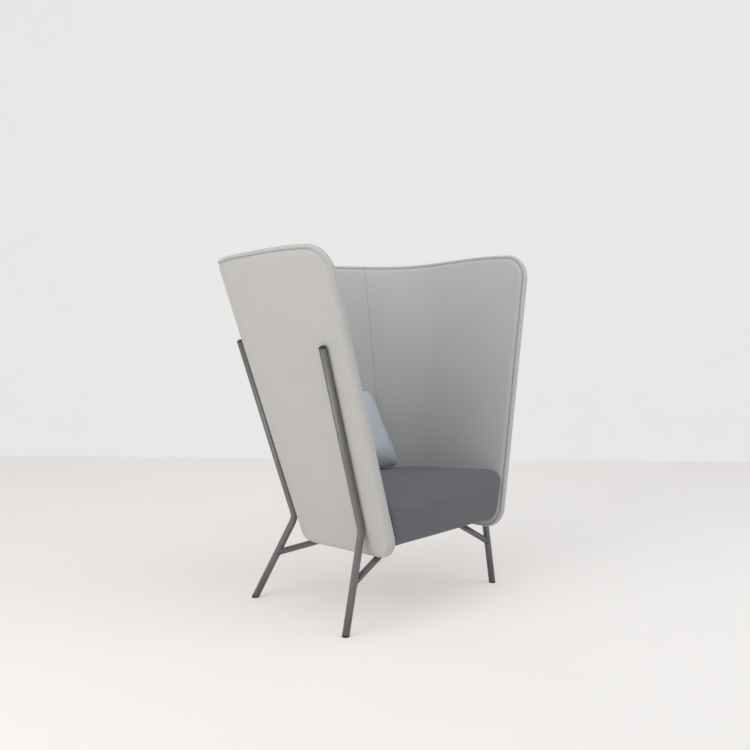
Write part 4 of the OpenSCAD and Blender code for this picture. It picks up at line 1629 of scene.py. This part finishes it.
@dataclass
class Studio:
    """Pale floor and wall, soft light and the camera of the photograph."""

    eye: Triple = (-2.6786, -2.4384, 1.112)
    azimuth: float = 48.45
    focal_px: float = 985.0
    frame_px: float = 750.0
    horizon_px: float = 292.31
    roll: float = -0.46
    sensor_w: float = 36
    clip_end: float = 60
    wall_distance: float = 6.6
    wall_h: float = 7.0
    near_reach: float = 9.0
    half_width: float = 14
    cove_r: float = 0.12
    cove_steps: int = 6
    seam_z: float = 0.005
    floor_tone: Triple = (0.90, 0.87, 0.845)
    wall_tone: Triple = (0.835, 0.83, 0.83)
    floor_glow: float = 0.4
    wall_glow: float = 0.85
    paint_dark: float = 0.985
    sky_tone: Triple = (0.95, 0.97, 1.0)
    sky_strength: float = 0.47
    middle: Triple = (0, 0, 0.6)
    lamps: tuple[Lamp, ...] = (
        Lamp("window_lamp", (-4.2, 0.2, 2.6), 3.0, 90),
        Lamp("ceiling_lamp", (-0.6, -1.2, 4.2), 3.5, 54),
        Lamp("side_lamp", (2.4, -3.6, 2.4), 2.6, 48, (0.9, 0.95, 1.0)),
    )

    @property
    def ahead(self) -> Vector:
        """Level direction in which the camera looks."""
        a = math.radians(self.azimuth)
        return Vector((math.sin(a), math.cos(a), 0))

    def camera(self) -> None:
        """Makes the photograph's camera."""
        data = bpy.data.cameras.new("studio_camera")
        data.sensor_width = self.sensor_w
        data.lens = self.sensor_w * self.focal_px / self.frame_px
        data.clip_end = self.clip_end
        camera = bpy.data.objects.new("studio_camera", data)
        bpy.context.scene.collection.objects.link(camera)
        down = math.atan((self.frame_px / 2 - self.horizon_px) / self.focal_px)
        look = self.ahead * math.cos(down) - UP * math.sin(down)
        level = look.to_track_quat("-Z", "Y")
        camera.location = self.eye
        camera.rotation_euler = (level @ Quaternion((0, 0, 1), math.radians(-self.roll))).to_euler()
        bpy.context.scene.camera = camera

    def paint(self, name: str, tone: Triple, glow: float) -> bpy.types.Material:
        """A matt paint that the camera sees partly at its own tone, so that it stays even.

        Args:
            name: Name of the material.
            tone: Colour, linear.
            glow: Share of the plain tone in what the camera sees.

        Returns:
            The material.
        """
        look = Look(name)
        colour = look.mottled(around(tone, self.paint_dark, 1), 1.5)
        look.colour(colour)
        look.set(Roughness=0.85, Specular_IOR_Level=0.2)
        even = look.add("ShaderNodeEmission", Strength=1.0)
        look.link(colour, even, "Color")
        share = look.add("ShaderNodeMath", operation="MULTIPLY")
        share.inputs[1].default_value = glow
        look.link(look.add("ShaderNodeLightPath").outputs["Is Camera Ray"], share, 0)
        blend = look.add("ShaderNodeMixShader")
        look.link(share.outputs["Value"], blend, "Fac")
        look.link(look.shader.outputs["BSDF"], blend, 1)
        look.link(even.outputs["Emission"], blend, 2)
        look.link(blend.outputs["Shader"], look.nodes["Material Output"], "Surface")
        return look.material

    def sweep(self) -> None:
        """Makes the floor and the wall behind it, joined by a soft cove."""
        side = Vector((self.ahead.y, -self.ahead.x, 0))
        eye = Vector((self.eye[0], self.eye[1], 0))
        start, r = self.wall_distance - self.cove_r, self.cove_r
        profile = [(-self.near_reach, 0.0), (start, 0.0)]
        for i in range(1, self.cove_steps + 1):
            a = math.radians(90 * i / self.cove_steps)
            profile.append((start + r * math.sin(a), r - r * math.cos(a)))
        profile.append((self.wall_distance, self.wall_h))
        deselect_all()
        bpy.ops.mesh.primitive_grid_add(x_subdivisions=1, y_subdivisions=len(profile) - 1, size=1)
        sweep = bpy.context.object
        sweep.name = "studio_sweep"
        for v in sweep.data.vertices:
            depth, height = profile[round((v.co.y + 0.5) * (len(profile) - 1))]
            v.co = eye + self.ahead * depth + side * (self.half_width * v.co.x * 2) + UP * height
        bpy.ops.object.shade_smooth()
        sweep.data.materials.append(self.paint("studio_floor_paint", self.floor_tone, self.floor_glow))
        sweep.data.materials.append(self.paint("studio_wall_paint", self.wall_tone, self.wall_glow))
        for face in sweep.data.polygons:
            face.material_index = 1 if face.center.z > self.seam_z else 0

    def build(self) -> None:
        """Makes the whole studio."""
        self.camera()
        self.sweep()
        for lamp in self.lamps:
            lamp.build(Vector(self.middle))
        world = bpy.data.worlds.new("studio_world")
        bpy.context.scene.world = world
        world.use_nodes = True
        back = world.node_tree.nodes["Background"]
        back.inputs["Color"].default_value = (*self.sky_tone, 1)
        back.inputs["Strength"].default_value = self.sky_strength
        bpy.context.scene.view_settings.view_transform = "Standard"


def main() -> None:
    """Builds every piece in order."""
    logging.basicConfig(level=logging.INFO, format="%(name)s: %(message)s")
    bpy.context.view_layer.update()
    for assembly in (Studio(), Upholstery(), SeatCushion(), BackPillow(), LegFrame(), HiddenParts()):
        assembly.build()


if __name__ == "__main__":
    main()
